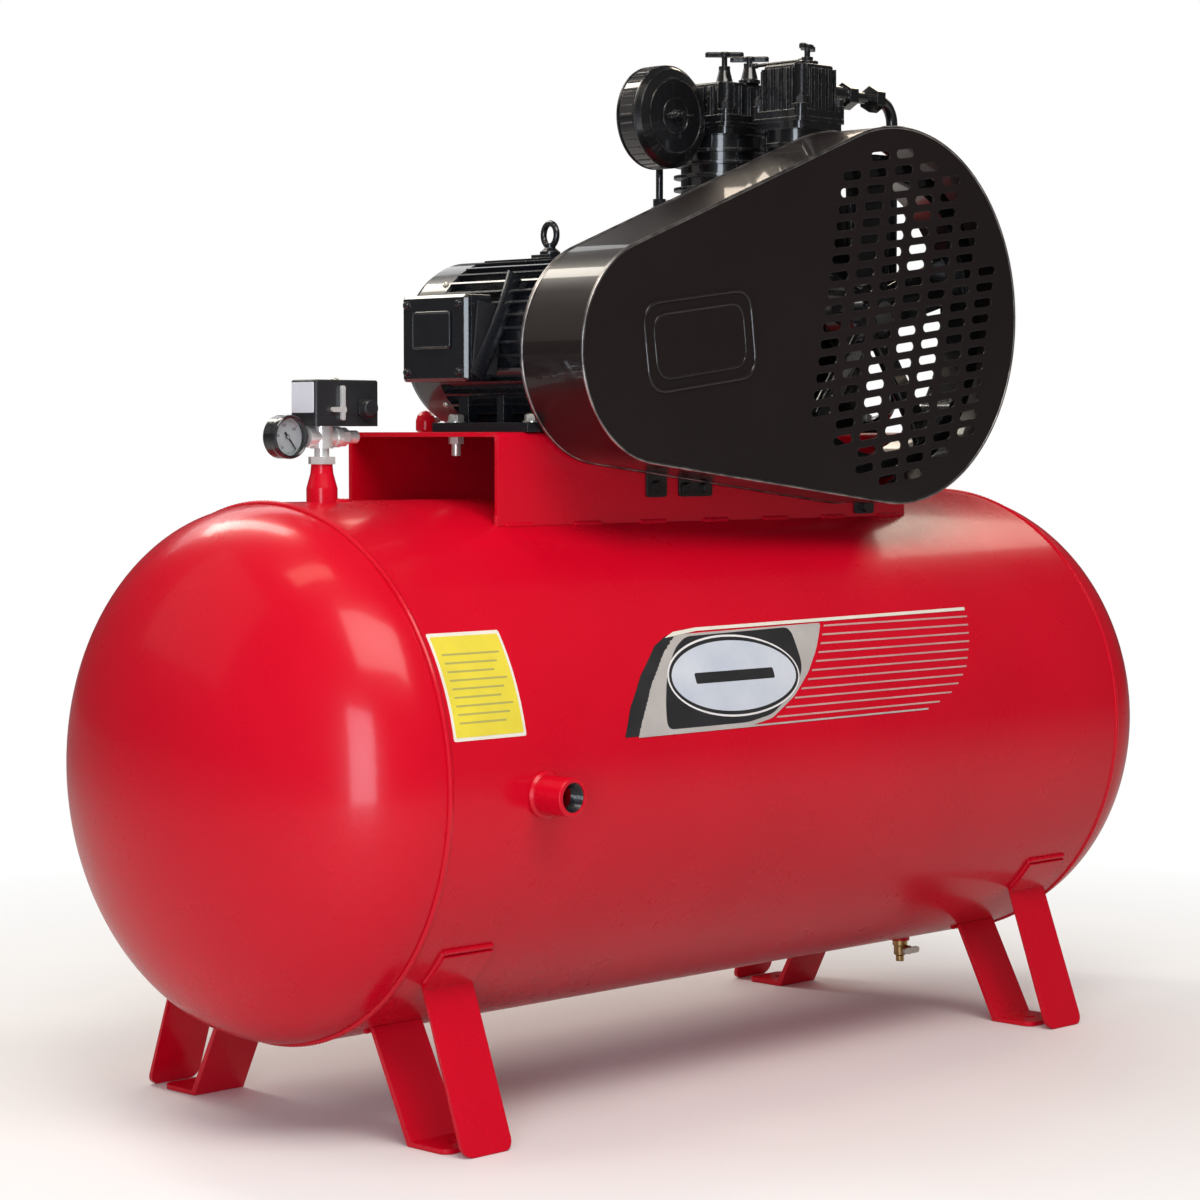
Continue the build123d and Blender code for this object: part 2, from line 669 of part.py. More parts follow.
with BuildPart() as guard_front:
    with BuildSketch(front_plane(GUARD_FRONT + GUARD_SHEET)):
        guard_outline(0)
        with Locations(*slot_places()):
            SlotOverall(SLOT_LENGTH, SLOT_WIDTH, rotation=SLOT_TILT, mode=Mode.SUBTRACT)
    extrude(amount=GUARD_SHEET)
pieces["guard_front"] = guard_front

with BuildPart() as guard_band:
    with BuildSketch(front_plane(GUARD_BACK)):
        guard_outline(0)
    extrude(amount=GUARD_BACK - GUARD_FRONT - GUARD_SHEET)
    with BuildSketch(front_plane(GUARD_BACK)):
        guard_outline(GUARD_SHEET)
    extrude(amount=GUARD_BACK - GUARD_FRONT - GUARD_SHEET, mode=Mode.SUBTRACT)
pieces["guard_band"] = guard_band

# Three tabs welded to the band's rear edge and bolted through the platform's front skirt.
TABS = ((-112.0, 37.0, 752.0, 800.0), (-39.0, 62.0, 752.0, 792.0), (300.0, 40.0, 724.0, 762.0))
TAB_BOLTS = ((-112.0, 766.0), (-56.0, 763.0), (-22.0, 763.0), (300.0, 734.0))
TAB = 3.0
with BuildPart() as guard_fixings:
    for x, width, low, high in TABS:
        with BuildSketch(front_plane(-PLATFORM_Y)):
            with Locations((x, (low + high) / 2)):
                RectangleRounded(width, high - low, 5)
        extrude(amount=TAB)
    for x, z in TAB_BOLTS:
        rod((x, -PLATFORM_Y - TAB - 1, z), (0, 1, 0), 4.1, TAB + 2, Mode.SUBTRACT)
        nut((x, -PLATFORM_Y - TAB, z), (0, -1, 0), 13, 5.5)
        rod((x, -PLATFORM_Y - TAB, z), (0, 1, 0), 4, TAB)
pieces["guard_fixings"] = guard_fixings

# --- Motor furniture --------------------------------------------------------------------------
BOX_X = (MOTOR_X - 146, MOTOR_X - 112)
BOX_Y = (-62.0, 58.0)
BOX_Z = (898.0, 1006.0)
BOX_WALL = 4.0
with BuildPart() as conduit_box:
    block(BOX_X, BOX_Y, BOX_Z)
    fillet(edges().filter_by(Axis.X), 5)
    block(
        (BOX_X[0] - 1, BOX_X[1] - BOX_WALL),
        (BOX_Y[0] + BOX_WALL, BOX_Y[1] - BOX_WALL),
        (BOX_Z[0] + BOX_WALL, BOX_Z[1] - BOX_WALL),
        Mode.SUBTRACT,
    )
    rod((BOX_X[1] - 20, 0, BOX_Z[0] - 1), (0, 0, 1), 10, 8, Mode.SUBTRACT)
pieces["conduit_box"] = conduit_box

COVER_FACE = BOX_X[0] - 9
COVER_SCREW_INSET = 12.0
PANEL_Z = 962.0
PANEL_SIZE = (66.0, 42.0)
with BuildPart() as conduit_cover:
    block((COVER_FACE, BOX_X[0]), BOX_Y, BOX_Z)
    fillet(edges().filter_by(Axis.X), 5)
    chamfer(edges().group_by(Axis.X)[0], 4)
    with BuildSketch(side_plane(COVER_FACE)):
        with Locations((0, PANEL_Z)):
            RectangleRounded(*PANEL_SIZE, 4)
    extrude(amount=-2)
    for y in (BOX_Y[0] + COVER_SCREW_INSET, BOX_Y[1] - COVER_SCREW_INSET):
        for z in (BOX_Z[0] + COVER_SCREW_INSET, BOX_Z[1] - COVER_SCREW_INSET):
            rod((COVER_FACE - 2, y, z), (1, 0, 0), 5, 4)
pieces["conduit_cover"] = conduit_cover

EYE_Z = 1060.0
EYE_Y = MOTOR_Y - 4
EYE_R = 14.5
EYE_BAR = 4.0
EYE_TURN = 100.0
with BuildPart() as eye_bolt:
    turn_z(
        MOTOR_X,
        EYE_Y,
        [
            (0, EYE_Z - 19), (BOLT_R, EYE_Z - 19), (BOLT_R, EYE_Z), (13, EYE_Z), (13, EYE_Z + 4),
            (7, EYE_Z + 9), (7, EYE_Z + 14), (0, EYE_Z + 14),
        ],
    )
    ring_centre = Vector(MOTOR_X, EYE_Y, EYE_Z + 11 + EYE_R)
    ring_facing = (-sin(radians(EYE_TURN)), -cos(radians(EYE_TURN)), 0)
    ring_plane = Plane(origin=ring_centre, x_dir=(0, 0, 1), z_dir=ring_facing)
    bar_centre = ring_centre + ring_plane.x_dir * EYE_R
    with BuildSketch(Plane(origin=bar_centre, x_dir=(0, 0, 1), z_dir=ring_plane.y_dir)) as ring:
        Circle(EYE_BAR)
    revolve(ring.sketch, axis=Axis(ring_centre, ring_plane.z_dir))
pieces["eye_bolt"] = eye_bolt

# --- Pump: crankcase and running gear -----------------------------------------------------------
case_mid_x = (CASE_X[0] + CASE_X[1]) / 2
case_inside_x = (CASE_X[0] + CASE_WALL, CASE_X[1] - CASE_WALL)
case_inside_y = (CASE_Y[0] + CASE_WALL, CASE_Y[1] - CASE_WALL)
BASE_WIDTH = 244.0
HOUSING_R = 60.0
RIB_Y = (-60.0, 5.0, 70.0)
RIB_REACH = (88.0, 99.0)
RIB_TOP = 1060.0
with BuildPart() as crankcase:
    with BuildSketch(level(PLATE_TOP + 13)):
        with Locations((case_mid_x, (CASE_Y[0] + CASE_Y[1]) / 2)):
            Rectangle(CASE_X[1] - CASE_X[0], CASE_Y[1] - CASE_Y[0])
    extrude(amount=DECK_Z - PLATE_TOP - 13)
    fillet(edges().filter_by(Axis.Z), 22)
    block(case_inside_x, case_inside_y, (CASE_Z[0] + 12, DECK_Z - 12), Mode.SUBTRACT)
    fillet(edges().group_by(Axis.Z)[-1], 4)
    with BuildSketch(level(PLATE_TOP)):
        with Locations((case_mid_x, (CASE_Y[0] + CASE_Y[1]) / 2)):
            RectangleRounded(BASE_WIDTH, CASE_Y[1] - CASE_Y[0], 12)
    extrude(amount=CASE_Z[0] + 2 - PLATE_TOP)
    for x_side in (-1, 1):
        for y in RIB_Y:
            web_x = sorted(case_mid_x + x_side * reach for reach in RIB_REACH)
            block(web_x, (y - 4, y + 4), (PLATE_TOP + 10, RIB_TOP))
    rod((CRANK_X, CASE_Y[0] - 1, CRANK_Z), (0, 1, 0), HOUSING_R, CASE_WALL + 2, Mode.SUBTRACT)
    rod((CRANK_X, CASE_Y[1] + 1, CRANK_Z), (0, -1, 0), HOUSING_R, CASE_WALL + 2, Mode.SUBTRACT)
    rod((CRANK_X, FIRST_Y, DECK_Z + 1), (0, 0, -1), FIRST_BORE, 20, Mode.SUBTRACT)
    rod((CRANK_X, SECOND_Y, DECK_Z + 1), (0, 0, -1), SECOND_BORE, 20, Mode.SUBTRACT)
    with Locations(*[(x, y, CASE_Z[0]) for x, y in pump_bolts]):
        Cylinder(BOLT_HOLE_R, 60, mode=Mode.SUBTRACT)
pieces["crankcase"] = crankcase

WEB = 10.0
second_pin = (SECOND_Y - 16, SECOND_Y + 16)
first_pin = (FIRST_Y - 16, FIRST_Y + 16)
with BuildPart() as crankshaft:
    rod((CRANK_X, -224, CRANK_Z), (0, 1, 0), JOURNAL_R, second_pin[0] - WEB + 224)
    middle_length = first_pin[0] - second_pin[1] - 2 * WEB
    rod((CRANK_X, second_pin[1] + WEB, CRANK_Z), (0, 1, 0), JOURNAL_R, middle_length)
    rod((CRANK_X, first_pin[1] + WEB, CRANK_Z), (0, 1, 0), JOURNAL_R, 154 - first_pin[1] - WEB)
    for pin, throw in ((second_pin, CRANK_R), (first_pin, -CRANK_R)):
        rod((CRANK_X, pin[0], CRANK_Z + throw), (0, 1, 0), PIN_R, pin[1] - pin[0])
        for web_back in (pin[0], pin[1] + WEB):
            with BuildSketch(front_plane(web_back)):
                with Locations((CRANK_X, CRANK_Z + throw)):
                    Circle(PIN_R + 9)
                with Locations((CRANK_X, CRANK_Z - throw * 0.6)):
                    Circle(PIN_R + 18)
                make_hull(edges())
            extrude(amount=WEB)
pieces["crankshaft"] = crankshaft

FRONT_HOUSING_Y = -132.0
BACK_HOUSING_Y = 150.0
FLANGE_R = 76.0
FLANGE_BOLTS = 6
FLANGE_BOLT_CIRCLE = 67.0
with BuildPart() as bearing_housings:
    turn_y(
        CRANK_X,
        CRANK_Z,
        [
            (22, -144), (50, -144), (50, FRONT_HOUSING_Y), (FLANGE_R, FRONT_HOUSING_Y),
            (FLANGE_R, CASE_Y[0]), (40, CASE_Y[0]), (40, -140), (22, -140),
        ],
    )
    turn_y(
        CRANK_X,
        CRANK_Z,
        [
            (0, 162), (50, 162), (50, BACK_HOUSING_Y), (FLANGE_R, BACK_HOUSING_Y),
            (FLANGE_R, CASE_Y[1]), (40, CASE_Y[1]), (40, 156), (0, 156),
        ],
    )
    for index in range(FLANGE_BOLTS):
        angle = radians(30 + 360 / FLANGE_BOLTS * index)
        x = CRANK_X + FLANGE_BOLT_CIRCLE * cos(angle)
        z = CRANK_Z + FLANGE_BOLT_CIRCLE * sin(angle)
        nut((x, FRONT_HOUSING_Y, z), (0, -1, 0), 13, 6)
        nut((x, BACK_HOUSING_Y, z), (0, 1, 0), 13, 6)
pieces["bearing_housings"] = bearing_housings

with BuildPart() as ball_bearings:
    for x, z, inner, outer, low, high in (
        (MOTOR_X, MOTOR_Z, MOTOR_SHAFT_R, BEARING_R, MOTOR_FRONT - 27, MOTOR_FRONT - 12),
        (MOTOR_X, MOTOR_Z, MOTOR_SHAFT_R, BEARING_R, MOTOR_BACK + 12, MOTOR_BACK + 27),
        (CRANK_X, CRANK_Z, JOURNAL_R, 40, -140, CASE_Y[0]),
        (CRANK_X, CRANK_Z, JOURNAL_R, 40, CASE_Y[1], 156),
    ):
        bore = inner + BEARING_PLAY
        turn_y(x, z, [(bore, low), (outer, low), (outer, high), (bore, high)])
pieces["ball_bearings"] = ball_bearings

# Pistons stand at mid-stroke. Their skirts leave room for the small ends to swing with the cranks.
SMALL_END_R = 10.0
WRIST_PIN_R = 6.0
BIG_END_R = 29.0
CROWN_TOP = CYLINDER_TOP - CRANK_R
CROWN = 6.0
SKIRT_BOTTOM = 1150.0
PISTON_PLAY = 0.2
RING_Z = (1214.0, 1220.0)


def piston(y, bore, cavity):
    """Cup piston with two ring grooves, and its two rings as separate solids."""
    outer = bore - PISTON_PLAY
    turn_z(
        CRANK_X,
        y,
        [(cavity, SKIRT_BOTTOM), (outer, SKIRT_BOTTOM), (outer, CROWN_TOP), (0, CROWN_TOP),
         (0, CROWN_TOP - CROWN), (cavity, CROWN_TOP - CROWN)],
    )
    for z in RING_Z:
        groove = [(bore - 2.2, z), (bore + 1, z), (bore + 1, z + 2.6), (bore - 2.2, z + 2.6)]
        ring = [(bore - 2, z + 0.1), (bore, z + 0.1), (bore, z + 2.5), (bore - 2, z + 2.5)]
        turn_z(CRANK_X, y, groove, Mode.SUBTRACT)
        turn_z(CRANK_X, y, ring)


with BuildPart() as pistons:
    piston(FIRST_Y, FIRST_BORE, FIRST_BORE - 7)
    piston(SECOND_Y, SECOND_BORE, SECOND_BORE - 4.4)
pieces["pistons"] = pistons


CAP_REACH = 41.0
SHANK_ROOT = 15.0
SHANK_TIP = 8.0


def connecting_rod(y, throw):
    """Rod standing upright on its crankpin, with the wrist pin in its small end."""
    big_z = CRANK_Z + throw
    small_z = big_z + ROD_LENGTH
    with BuildPart() as connecting:
        rod((CRANK_X, y - 15, big_z), (0, 1, 0), BIG_END_R, 30)
        block((CRANK_X - CAP_REACH, CRANK_X + CAP_REACH), (y - 8, y + 8), (big_z - 5, big_z + 5))
        rod((CRANK_X, y - 8, small_z), (0, 1, 0), SMALL_END_R, 16)
        with BuildSketch(front_plane(y + 6)):
            with BuildLine():
                Polyline(
                    (CRANK_X - SHANK_ROOT, big_z + 20), (CRANK_X + SHANK_ROOT, big_z + 20),
                    (CRANK_X + SHANK_TIP, small_z - 5), (CRANK_X - SHANK_TIP, small_z - 5), close=True,
                )
            make_face()
        extrude(amount=12)
        rod((CRANK_X, y - 20, big_z), (0, 1, 0), PIN_R + 0.05, 40, Mode.SUBTRACT)
        rod((CRANK_X, y - 20, small_z), (0, 1, 0), WRIST_PIN_R, 40, Mode.SUBTRACT)
        rod((CRANK_X, y - 14, small_z), (0, 1, 0), WRIST_PIN_R - 0.02, 28)
    return connecting


pieces["connecting_rod_first"] = connecting_rod(FIRST_Y, -CRANK_R)
pieces["connecting_rod_second"] = connecting_rod(SECOND_Y, CRANK_R)

# --- Pump: cylinders and heads ------------------------------------------------------------------
FIN_PITCH = 17.0
FIN = 4.5
STUD_R = 4.5


def cylinder(y, bore, barrel, fin_radius, flange, stud):
    """Finned cylinder with a square flange at each end."""
    with BuildPart() as barrel_part:
        rod((CRANK_X, y, DECK_Z), (0, 0, 1), barrel, CYLINDER_TOP - DECK_Z)
        for base in (DECK_Z, CYLINDER_TOP - 10):
            with BuildSketch(level(base)):
                with Locations((CRANK_X, y)):
                    RectangleRounded(flange, flange, 18)
            extrude(amount=10)
        for index in range(4):
            rod((CRANK_X, y, DECK_Z + 22 + index * FIN_PITCH), (0, 0, 1), fin_radius, FIN)
        rod((CRANK_X, y, DECK_Z - 1), (0, 0, 1), bore, 120, Mode.SUBTRACT)
        with Locations((CRANK_X, y, CYLINDER_TOP)):
            with GridLocations(2 * stud, 2 * stud, 2, 2):
                Cylinder(STUD_R, 40, mode=Mode.SUBTRACT)
    return barrel_part


FIRST_FLANGE = 124.0
SECOND_FLANGE = 94.0
FIRST_STUD = 52.0
SECOND_STUD = 38.0
pieces["cylinder_first"] = cylinder(FIRST_Y, FIRST_BORE, 60, 70, FIRST_FLANGE, FIRST_STUD)
pieces["cylinder_second"] = cylinder(SECOND_Y, SECOND_BORE, 46, 53, SECOND_FLANGE, SECOND_STUD)

with BuildPart() as valve_plates:
    for y, width, stud in (
        (FIRST_Y, FIRST_FLANGE + 2, FIRST_STUD),
        (SECOND_Y, SECOND_FLANGE + 2, SECOND_STUD),
    ):
        with BuildSketch(level(CYLINDER_TOP)):
            with Locations((CRANK_X, y)):
                RectangleRounded(width, width, 12)
                with GridLocations(2 * stud, 2 * stud, 2, 2):
                    Circle(STUD_R, mode=Mode.SUBTRACT)
                with GridLocations(36, 0, 2, 1):
                    SlotOverall(26, 8, rotation=90, mode=Mode.SUBTRACT)
        extrude(amount=HEAD_Z - CYLINDER_TOP)
pieces["valve_plates"] = valve_plates


def head(y, width, top, stud, rib_count):
    """Head with suction and discharge chambers below, and upright ribs on all four sides."""
    with BuildPart() as head_part:
        with BuildSketch(level(HEAD_Z)):
            with Locations((CRANK_X, y)):
                RectangleRounded(width, width, 10)
        extrude(amount=10)
        with BuildSketch(level(HEAD_Z)):
            with Locations((CRANK_X, y)):
                RectangleRounded(width - 14, width - 14, 8)
        extrude(amount=top - HEAD_Z)
        fillet(edges().group_by(Axis.Z)[-1], 4)
        rib_step = (width - 34) / (rib_count - 1)
        for index in range(rib_count):
            place = -(width - 34) / 2 + index * rib_step
            block(
                (CRANK_X + place - 3, CRANK_X + place + 3),
                (y - width / 2 + 2, y + width / 2 - 2),
                (HEAD_Z + 5, top - 6),
            )
            block(
                (CRANK_X - width / 2 + 2, CRANK_X + width / 2 - 2),
                (y + place - 3, y + place + 3),
                (HEAD_Z + 5, top - 6),
            )
        for side in (-1, 1):
            reach = width / 2 - 22
            chamber = sorted((CRANK_X + side * 5, CRANK_X + side * reach))
            block(chamber, (y - reach, y + reach), (HEAD_Z - 1, top - 14), Mode.SUBTRACT)
        for dx in (-stud, stud):
            for dy in (-stud, stud):
                rod((CRANK_X + dx, y + dy, HEAD_Z), (0, 0, 1), 9, 18)
        with Locations((CRANK_X, y, HEAD_Z)):
            with GridLocations(2 * stud, 2 * stud, 2, 2):
                Cylinder(STUD_R, 50, mode=Mode.SUBTRACT)
    return head_part


BOLT_SEAT = HEAD_Z + 18
FIRST_HEAD_WIDTH = 126.0
SECOND_HEAD_WIDTH = 92.0


def relieve_bolts(y, stud, top):
    """Opens the corners above the head bolts, so that their hexagons stand free."""
    for dx in (-stud, stud):
        for dy in (-stud, stud):
            seat = (CRANK_X + dx, y + dy, BOLT_SEAT)
            rod(seat, (0, 0, 1), 11.5, top - BOLT_SEAT + 1, Mode.SUBTRACT)


head_first = head(FIRST_Y, FIRST_HEAD_WIDTH, FIRST_HEAD_TOP, FIRST_STUD, 6)
with head_first:
    relieve_bolts(FIRST_Y, FIRST_STUD, FIRST_HEAD_TOP)
pieces["head_first"] = head_first
head_second = head(SECOND_Y, SECOND_HEAD_WIDTH, SECOND_HEAD_TOP, SECOND_STUD, 5)
with head_second:
    relieve_bolts(SECOND_Y, SECOND_STUD, SECOND_HEAD_TOP)
pieces["head_second"] = head_second

# Hexagon bolts: four through the motor's feet and the platform's slots, four through the pump's
# base, and four through each head into its cylinder.
BOLT_LENGTH = 24.0
with BuildPart() as hex_bolts:
    motor_spots = [(x, y, FOOT_PAD_TOP) for x, y in motor_bolts]
    pump_spots = [(x, y, CASE_Z[0] + 2) for x, y in pump_bolts]
    for x, y, z in motor_spots + pump_spots:
        rod((x, y, z), (0, 0, 1), 12, 2)
        nut((x, y, z + 2), (0, 0, 1), 18, 7.5)
        rod((x, y, z), (0, 0, -1), BOLT_R, z - PLATE_TOP + PLATE + BOLT_LENGTH)
        nut((x, y, PLATE_TOP - PLATE), (0, 0, -1), 18, 9)
    for y, stud in ((FIRST_Y, FIRST_STUD), (SECOND_Y, SECOND_STUD)):
        for dx in (-stud, stud):
            for dy in (-stud, stud):
                shank = (CRANK_X + dx, y + dy, CYLINDER_TOP - 9)
                rod(shank, (0, 0, 1), STUD_R - 0.3, BOLT_SEAT - CYLINDER_TOP + 9)
                nut((CRANK_X + dx, y + dy, BOLT_SEAT), (0, 0, 1), 15, 9)
pieces["hex_bolts"] = hex_bolts

# --- Valve lifters on the heads -----------------------------------------------------------------
LIFTER_TOP = 1346.0
STEM_R = 4.0
STEM_PLAY = 0.05
STEM_DEPTH = 9.0
CONTROL_Z = 1342.0
LIFTERS = (
    ("lifter_handle_rear", FIRST_Y - 1, FIRST_HEAD_TOP, 1359.0, -45.0),
    ("lifter_handle_middle", FIRST_Y - 48, FIRST_HEAD_TOP, 1348.5, -52.0),
    ("lifter_handle_front", SECOND_Y - 16, SECOND_HEAD_TOP, 1356.0, 25.0),
)

with BuildPart() as lifter_bodies:
    for name, y, base, bar_z, turn in LIFTERS:
        turn_z(
            CRANK_X,
            y,
            [
                (0, base), (15, base), (15, base + 5), (12, base + 6), (8, LIFTER_TOP - 6),
                (8, LIFTER_TOP), (0, LIFTER_TOP),
            ],
        )
    rod((CRANK_X, LIFTERS[1][1] - 14, CONTROL_Z), (0, 1, 0), 3.8, 12)
    rod((CRANK_X, LIFTERS[2][1] + 14, CONTROL_Z), (0, -1, 0), 3.8, 12)
    for name, y, base, bar_z, turn in LIFTERS:
        rod((CRANK_X, y, LIFTER_TOP + 1), (0, 0, -1), STEM_R + STEM_PLAY, STEM_DEPTH + 1, Mode.SUBTRACT)
    tube_length = LIFTERS[1][1] - LIFTERS[2][1] - 28.2
    rod((CRANK_X, LIFTERS[2][1] + 14.1, CONTROL_Z), (0, 1, 0), 2.6, tube_length)
pieces["lifter_bodies"] = lifter_bodies

for name, y, base, bar_z, turn in LIFTERS:
    with BuildPart() as handle:
        stem_foot = LIFTER_TOP - STEM_DEPTH + 2
        rod((CRANK_X, y, stem_foot), (0, 0, 1), STEM_R, bar_z + 2 - stem_foot)
        with BuildSketch(Plane(origin=(CRANK_X, y, bar_z))):
            SlotOverall(54, 10, rotation=turn)
            Circle(9)
        extrude(amount=7)
        fillet(edges().group_by(Axis.Z)[-1], 2)
    pieces[name] = handle

# --- Air paths --------------------------------------------------------------------------------
FILTER_X = 110.0
FILTER_Z = 1265.0
FILTER_R = 69.0
FILTER_FRONT = 36.0
FILTER_BACK = 84.0
INTAKE_Z = 1284.0
INTAKE_Y = 104.0
first_left = CRANK_X - FIRST_HEAD_WIDTH / 2
first_right = CRANK_X + FIRST_HEAD_WIDTH / 2
second_right = CRANK_X + SECOND_HEAD_WIDTH / 2

with BuildPart() as air_filter:
    turn_y(
        FILTER_X,
        FILTER_Z,
        [
            (0, FILTER_FRONT), (FILTER_R - 16, FILTER_FRONT), (FILTER_R - 5, FILTER_FRONT + 4),
            (FILTER_R, FILTER_FRONT + 12), (FILTER_R, FILTER_BACK - 8), (FILTER_R - 4, FILTER_BACK),
            (0, FILTER_BACK), (0, FILTER_BACK - 2), (FILTER_R - 5, FILTER_BACK - 2),
            (FILTER_R - 2, FILTER_BACK - 8), (FILTER_R - 2, FILTER_FRONT + 12),
            (FILTER_R - 6, FILTER_FRONT + 6), (FILTER_R - 16, FILTER_FRONT + 2), (0, FILTER_FRONT + 2),
        ],
    )
    rod((FILTER_X, FILTER_FRONT, FILTER_Z), (0, -1, 0), 8, 6)
    element = [
        (34, FILTER_FRONT + 4), (58, FILTER_FRONT + 8), (58, FILTER_BACK - 4), (34, FILTER_BACK - 4),
    ]
    turn_y(FILTER_X, FILTER_Z, element)
pieces["air_filter"] = air_filter

# Intake elbow from the filter, crankcase breather into the filter, and the pipe between the stages.
BREATHER = (164.0, 118.0)
BREATHER_TOP = 1236.0
STAGE_PIPE_X = 346.0
STAGE_PIPE_Y = -45.0
STAGE_PIPE_Z = 1288.0
with BuildPart() as pump_pipes:
    pipe(
        [
            (FILTER_X, FILTER_BACK, INTAKE_Z),
            (FILTER_X, INTAKE_Y, INTAKE_Z),
            (first_left, INTAKE_Y, INTAKE_Z),
        ],
        18,
        15,
    )
    rod((first_left, INTAKE_Y, INTAKE_Z), (-1, 0, 0), 20, 6)
    pipe(
        [(*BREATHER, DECK_Z), (*BREATHER, BREATHER_TOP), (BREATHER[0], FILTER_BACK, BREATHER_TOP)],
        14,
        5,
    )
    nut((*BREATHER, DECK_Z), (0, 0, 1), 16, 10)
    pipe(
        [
            (first_right, FIRST_Y, STAGE_PIPE_Z), (STAGE_PIPE_X, FIRST_Y, STAGE_PIPE_Z),
            (STAGE_PIPE_X, STAGE_PIPE_Y, STAGE_PIPE_Z), (second_right, STAGE_PIPE_Y, STAGE_PIPE_Z),
        ],
        22,
        9,
    )
pieces["pump_pipes"] = pump_pipes

DISCHARGE_Y = -80.0
DISCHARGE_Z = 1300.0
DISCHARGE_LOW = 850.0
DISCHARGE_BEND = 32.0
TUBE_R = 8.0
TUBE_PLAY = 0.1
CHECK_TOP = 800.0
NUT_LENGTH = 17.0
union_x = second_right + 32
with BuildPart() as discharge_pipe:
    pipe(
        [
            (union_x, DISCHARGE_Y, DISCHARGE_Z), (CHECK_X, DISCHARGE_Y, DISCHARGE_Z),
            (CHECK_X, DISCHARGE_Y, DISCHARGE_LOW), (CHECK_X, 0, DISCHARGE_LOW), (CHECK_X, 0, CHECK_TOP),
        ],
        DISCHARGE_BEND,
        TUBE_R,
    )
pieces["discharge_pipe"] = discharge_pipe

with BuildPart() as pipe_nuts:
    rod((second_right, DISCHARGE_Y, DISCHARGE_Z), (1, 0, 0), 13, union_x - second_right - TUBE_PLAY)
    for start, direction in (
        ((union_x, DISCHARGE_Y, DISCHARGE_Z), (1, 0, 0)),
        ((CHECK_X - DISCHARGE_BEND - NUT_LENGTH - 1, DISCHARGE_Y, DISCHARGE_Z), (1, 0, 0)),
        ((CHECK_X, DISCHARGE_Y, DISCHARGE_Z - DISCHARGE_BEND - NUT_LENGTH - 3), (0, 0, 1)),
        ((CHECK_X, 0, CHECK_TOP), (0, 0, 1)),
    ):
        with BuildSketch(Plane(origin=start, z_dir=direction)) as ring_nut:
            RegularPolygon(16, 6, major_radius=False)
            Circle(TUBE_R + TUBE_PLAY, mode=Mode.SUBTRACT)
        extrude(ring_nut.sketch, amount=NUT_LENGTH)
pieces["pipe_nuts"] = pipe_nuts

with BuildPart() as check_valve:
    turn_z(
        CHECK_X,
        0,
        [
            (5, tank_top + 12), (17, tank_top + 12), (17, tank_top + 26), (14, tank_top + 30),
            (14, CHECK_TOP - 6), (12, CHECK_TOP), (5, CHECK_TOP),
        ],
    )
    nut((CHECK_X, 0, tank_top + 12), (0, 0, 1), 38, 9)
    rod((CHECK_X, 0, tank_top + 11), (0, 0, 1), 5, 60, Mode.SUBTRACT)
pieces["check_valve"] = check_valve

with BuildPart() as oil_fittings:
    face = CASE_X[0]
    sight_glass = [(face - 9, 0), (face - 9, 14), (face - 4, 18), (face, 18), (face, 0)]
    filler_cap = [
        (face - 26, 0), (face - 26, 15), (face - 14, 15), (face - 12, 10), (face, 10), (face, 0),
    ]
    turn_x(36, 905, sight_glass)
    turn_x(-28, 1050, filler_cap)
    nut((face, 100, 872), (-1, 0, 0), 19, 12)
pieces["oil_fittings"] = oil_fittings

# --- Manifold, gauge and pressure switch --------------------------------------------------------
CROSS_X = (-577.0, -525.0)
SWITCH_X = (-580.0, -480.0)
SWITCH_Y = (-24.0, 24.0)
SWITCH_Z = (842.0, 856.0, 898.0)
reducer_top = tank_top + 45
with BuildPart() as manifold_cross:
    nut((MANIFOLD_X, 0, reducer_top), (0, 0, 1), 30, 9)
    rod((MANIFOLD_X, 0, reducer_top), (0, 0, 1), 9, 26)
    rod((MANIFOLD_X, 0, MANIFOLD_Z - 14), (0, 0, 1), 14, SWITCH_Z[0] - MANIFOLD_Z + 14)
    rod((CROSS_X[0], 0, MANIFOLD_Z), (1, 0, 0), 11, CROSS_X[1] - CROSS_X[0])
    for x in (CROSS_X[0], CROSS_X[1] - 8):
        rod((x, 0, MANIFOLD_Z), (1, 0, 0), 12.8, 8)
    nut((CROSS_X[1], 0, MANIFOLD_Z), (1, 0, 0), 20, 12)
    rod((CROSS_X[1] + 12, 0, MANIFOLD_Z), (1, 0, 0), 8, 16)
    rod((MANIFOLD_X, 0, tank_top), (0, 0, 1), 5, 60, Mode.SUBTRACT)
pieces["manifold_cross"] = manifold_cross

GAUGE_R = 26.0
DIAL_R = 23.4
PIVOT_R = 0.8
# The gauge is screwed in by a stem on its right, so its scale starts at the lower right.
NEEDLE_REST = 310.0
with BuildPart() as gauge_case:
    turn_y(
        GAUGE_X,
        MANIFOLD_Z,
        [(0, 11), (GAUGE_R - 2, 11), (GAUGE_R, 9), (GAUGE_R, -12), (DIAL_R, -12), (DIAL_R, -2), (0, -2)],
    )
    rod((CROSS_X[0], 0, MANIFOLD_Z), (-1, 0, 0), 6, CROSS_X[0] - GAUGE_X - GAUGE_R + 1.5)
pieces["gauge_case"] = gauge_case

with BuildPart() as gauge_dial:
    turn_y(GAUGE_X, MANIFOLD_Z, [(PIVOT_R + 0.05, -3), (DIAL_R, -3), (DIAL_R, -2), (PIVOT_R + 0.05, -2)])
pieces["gauge_dial"] = gauge_dial

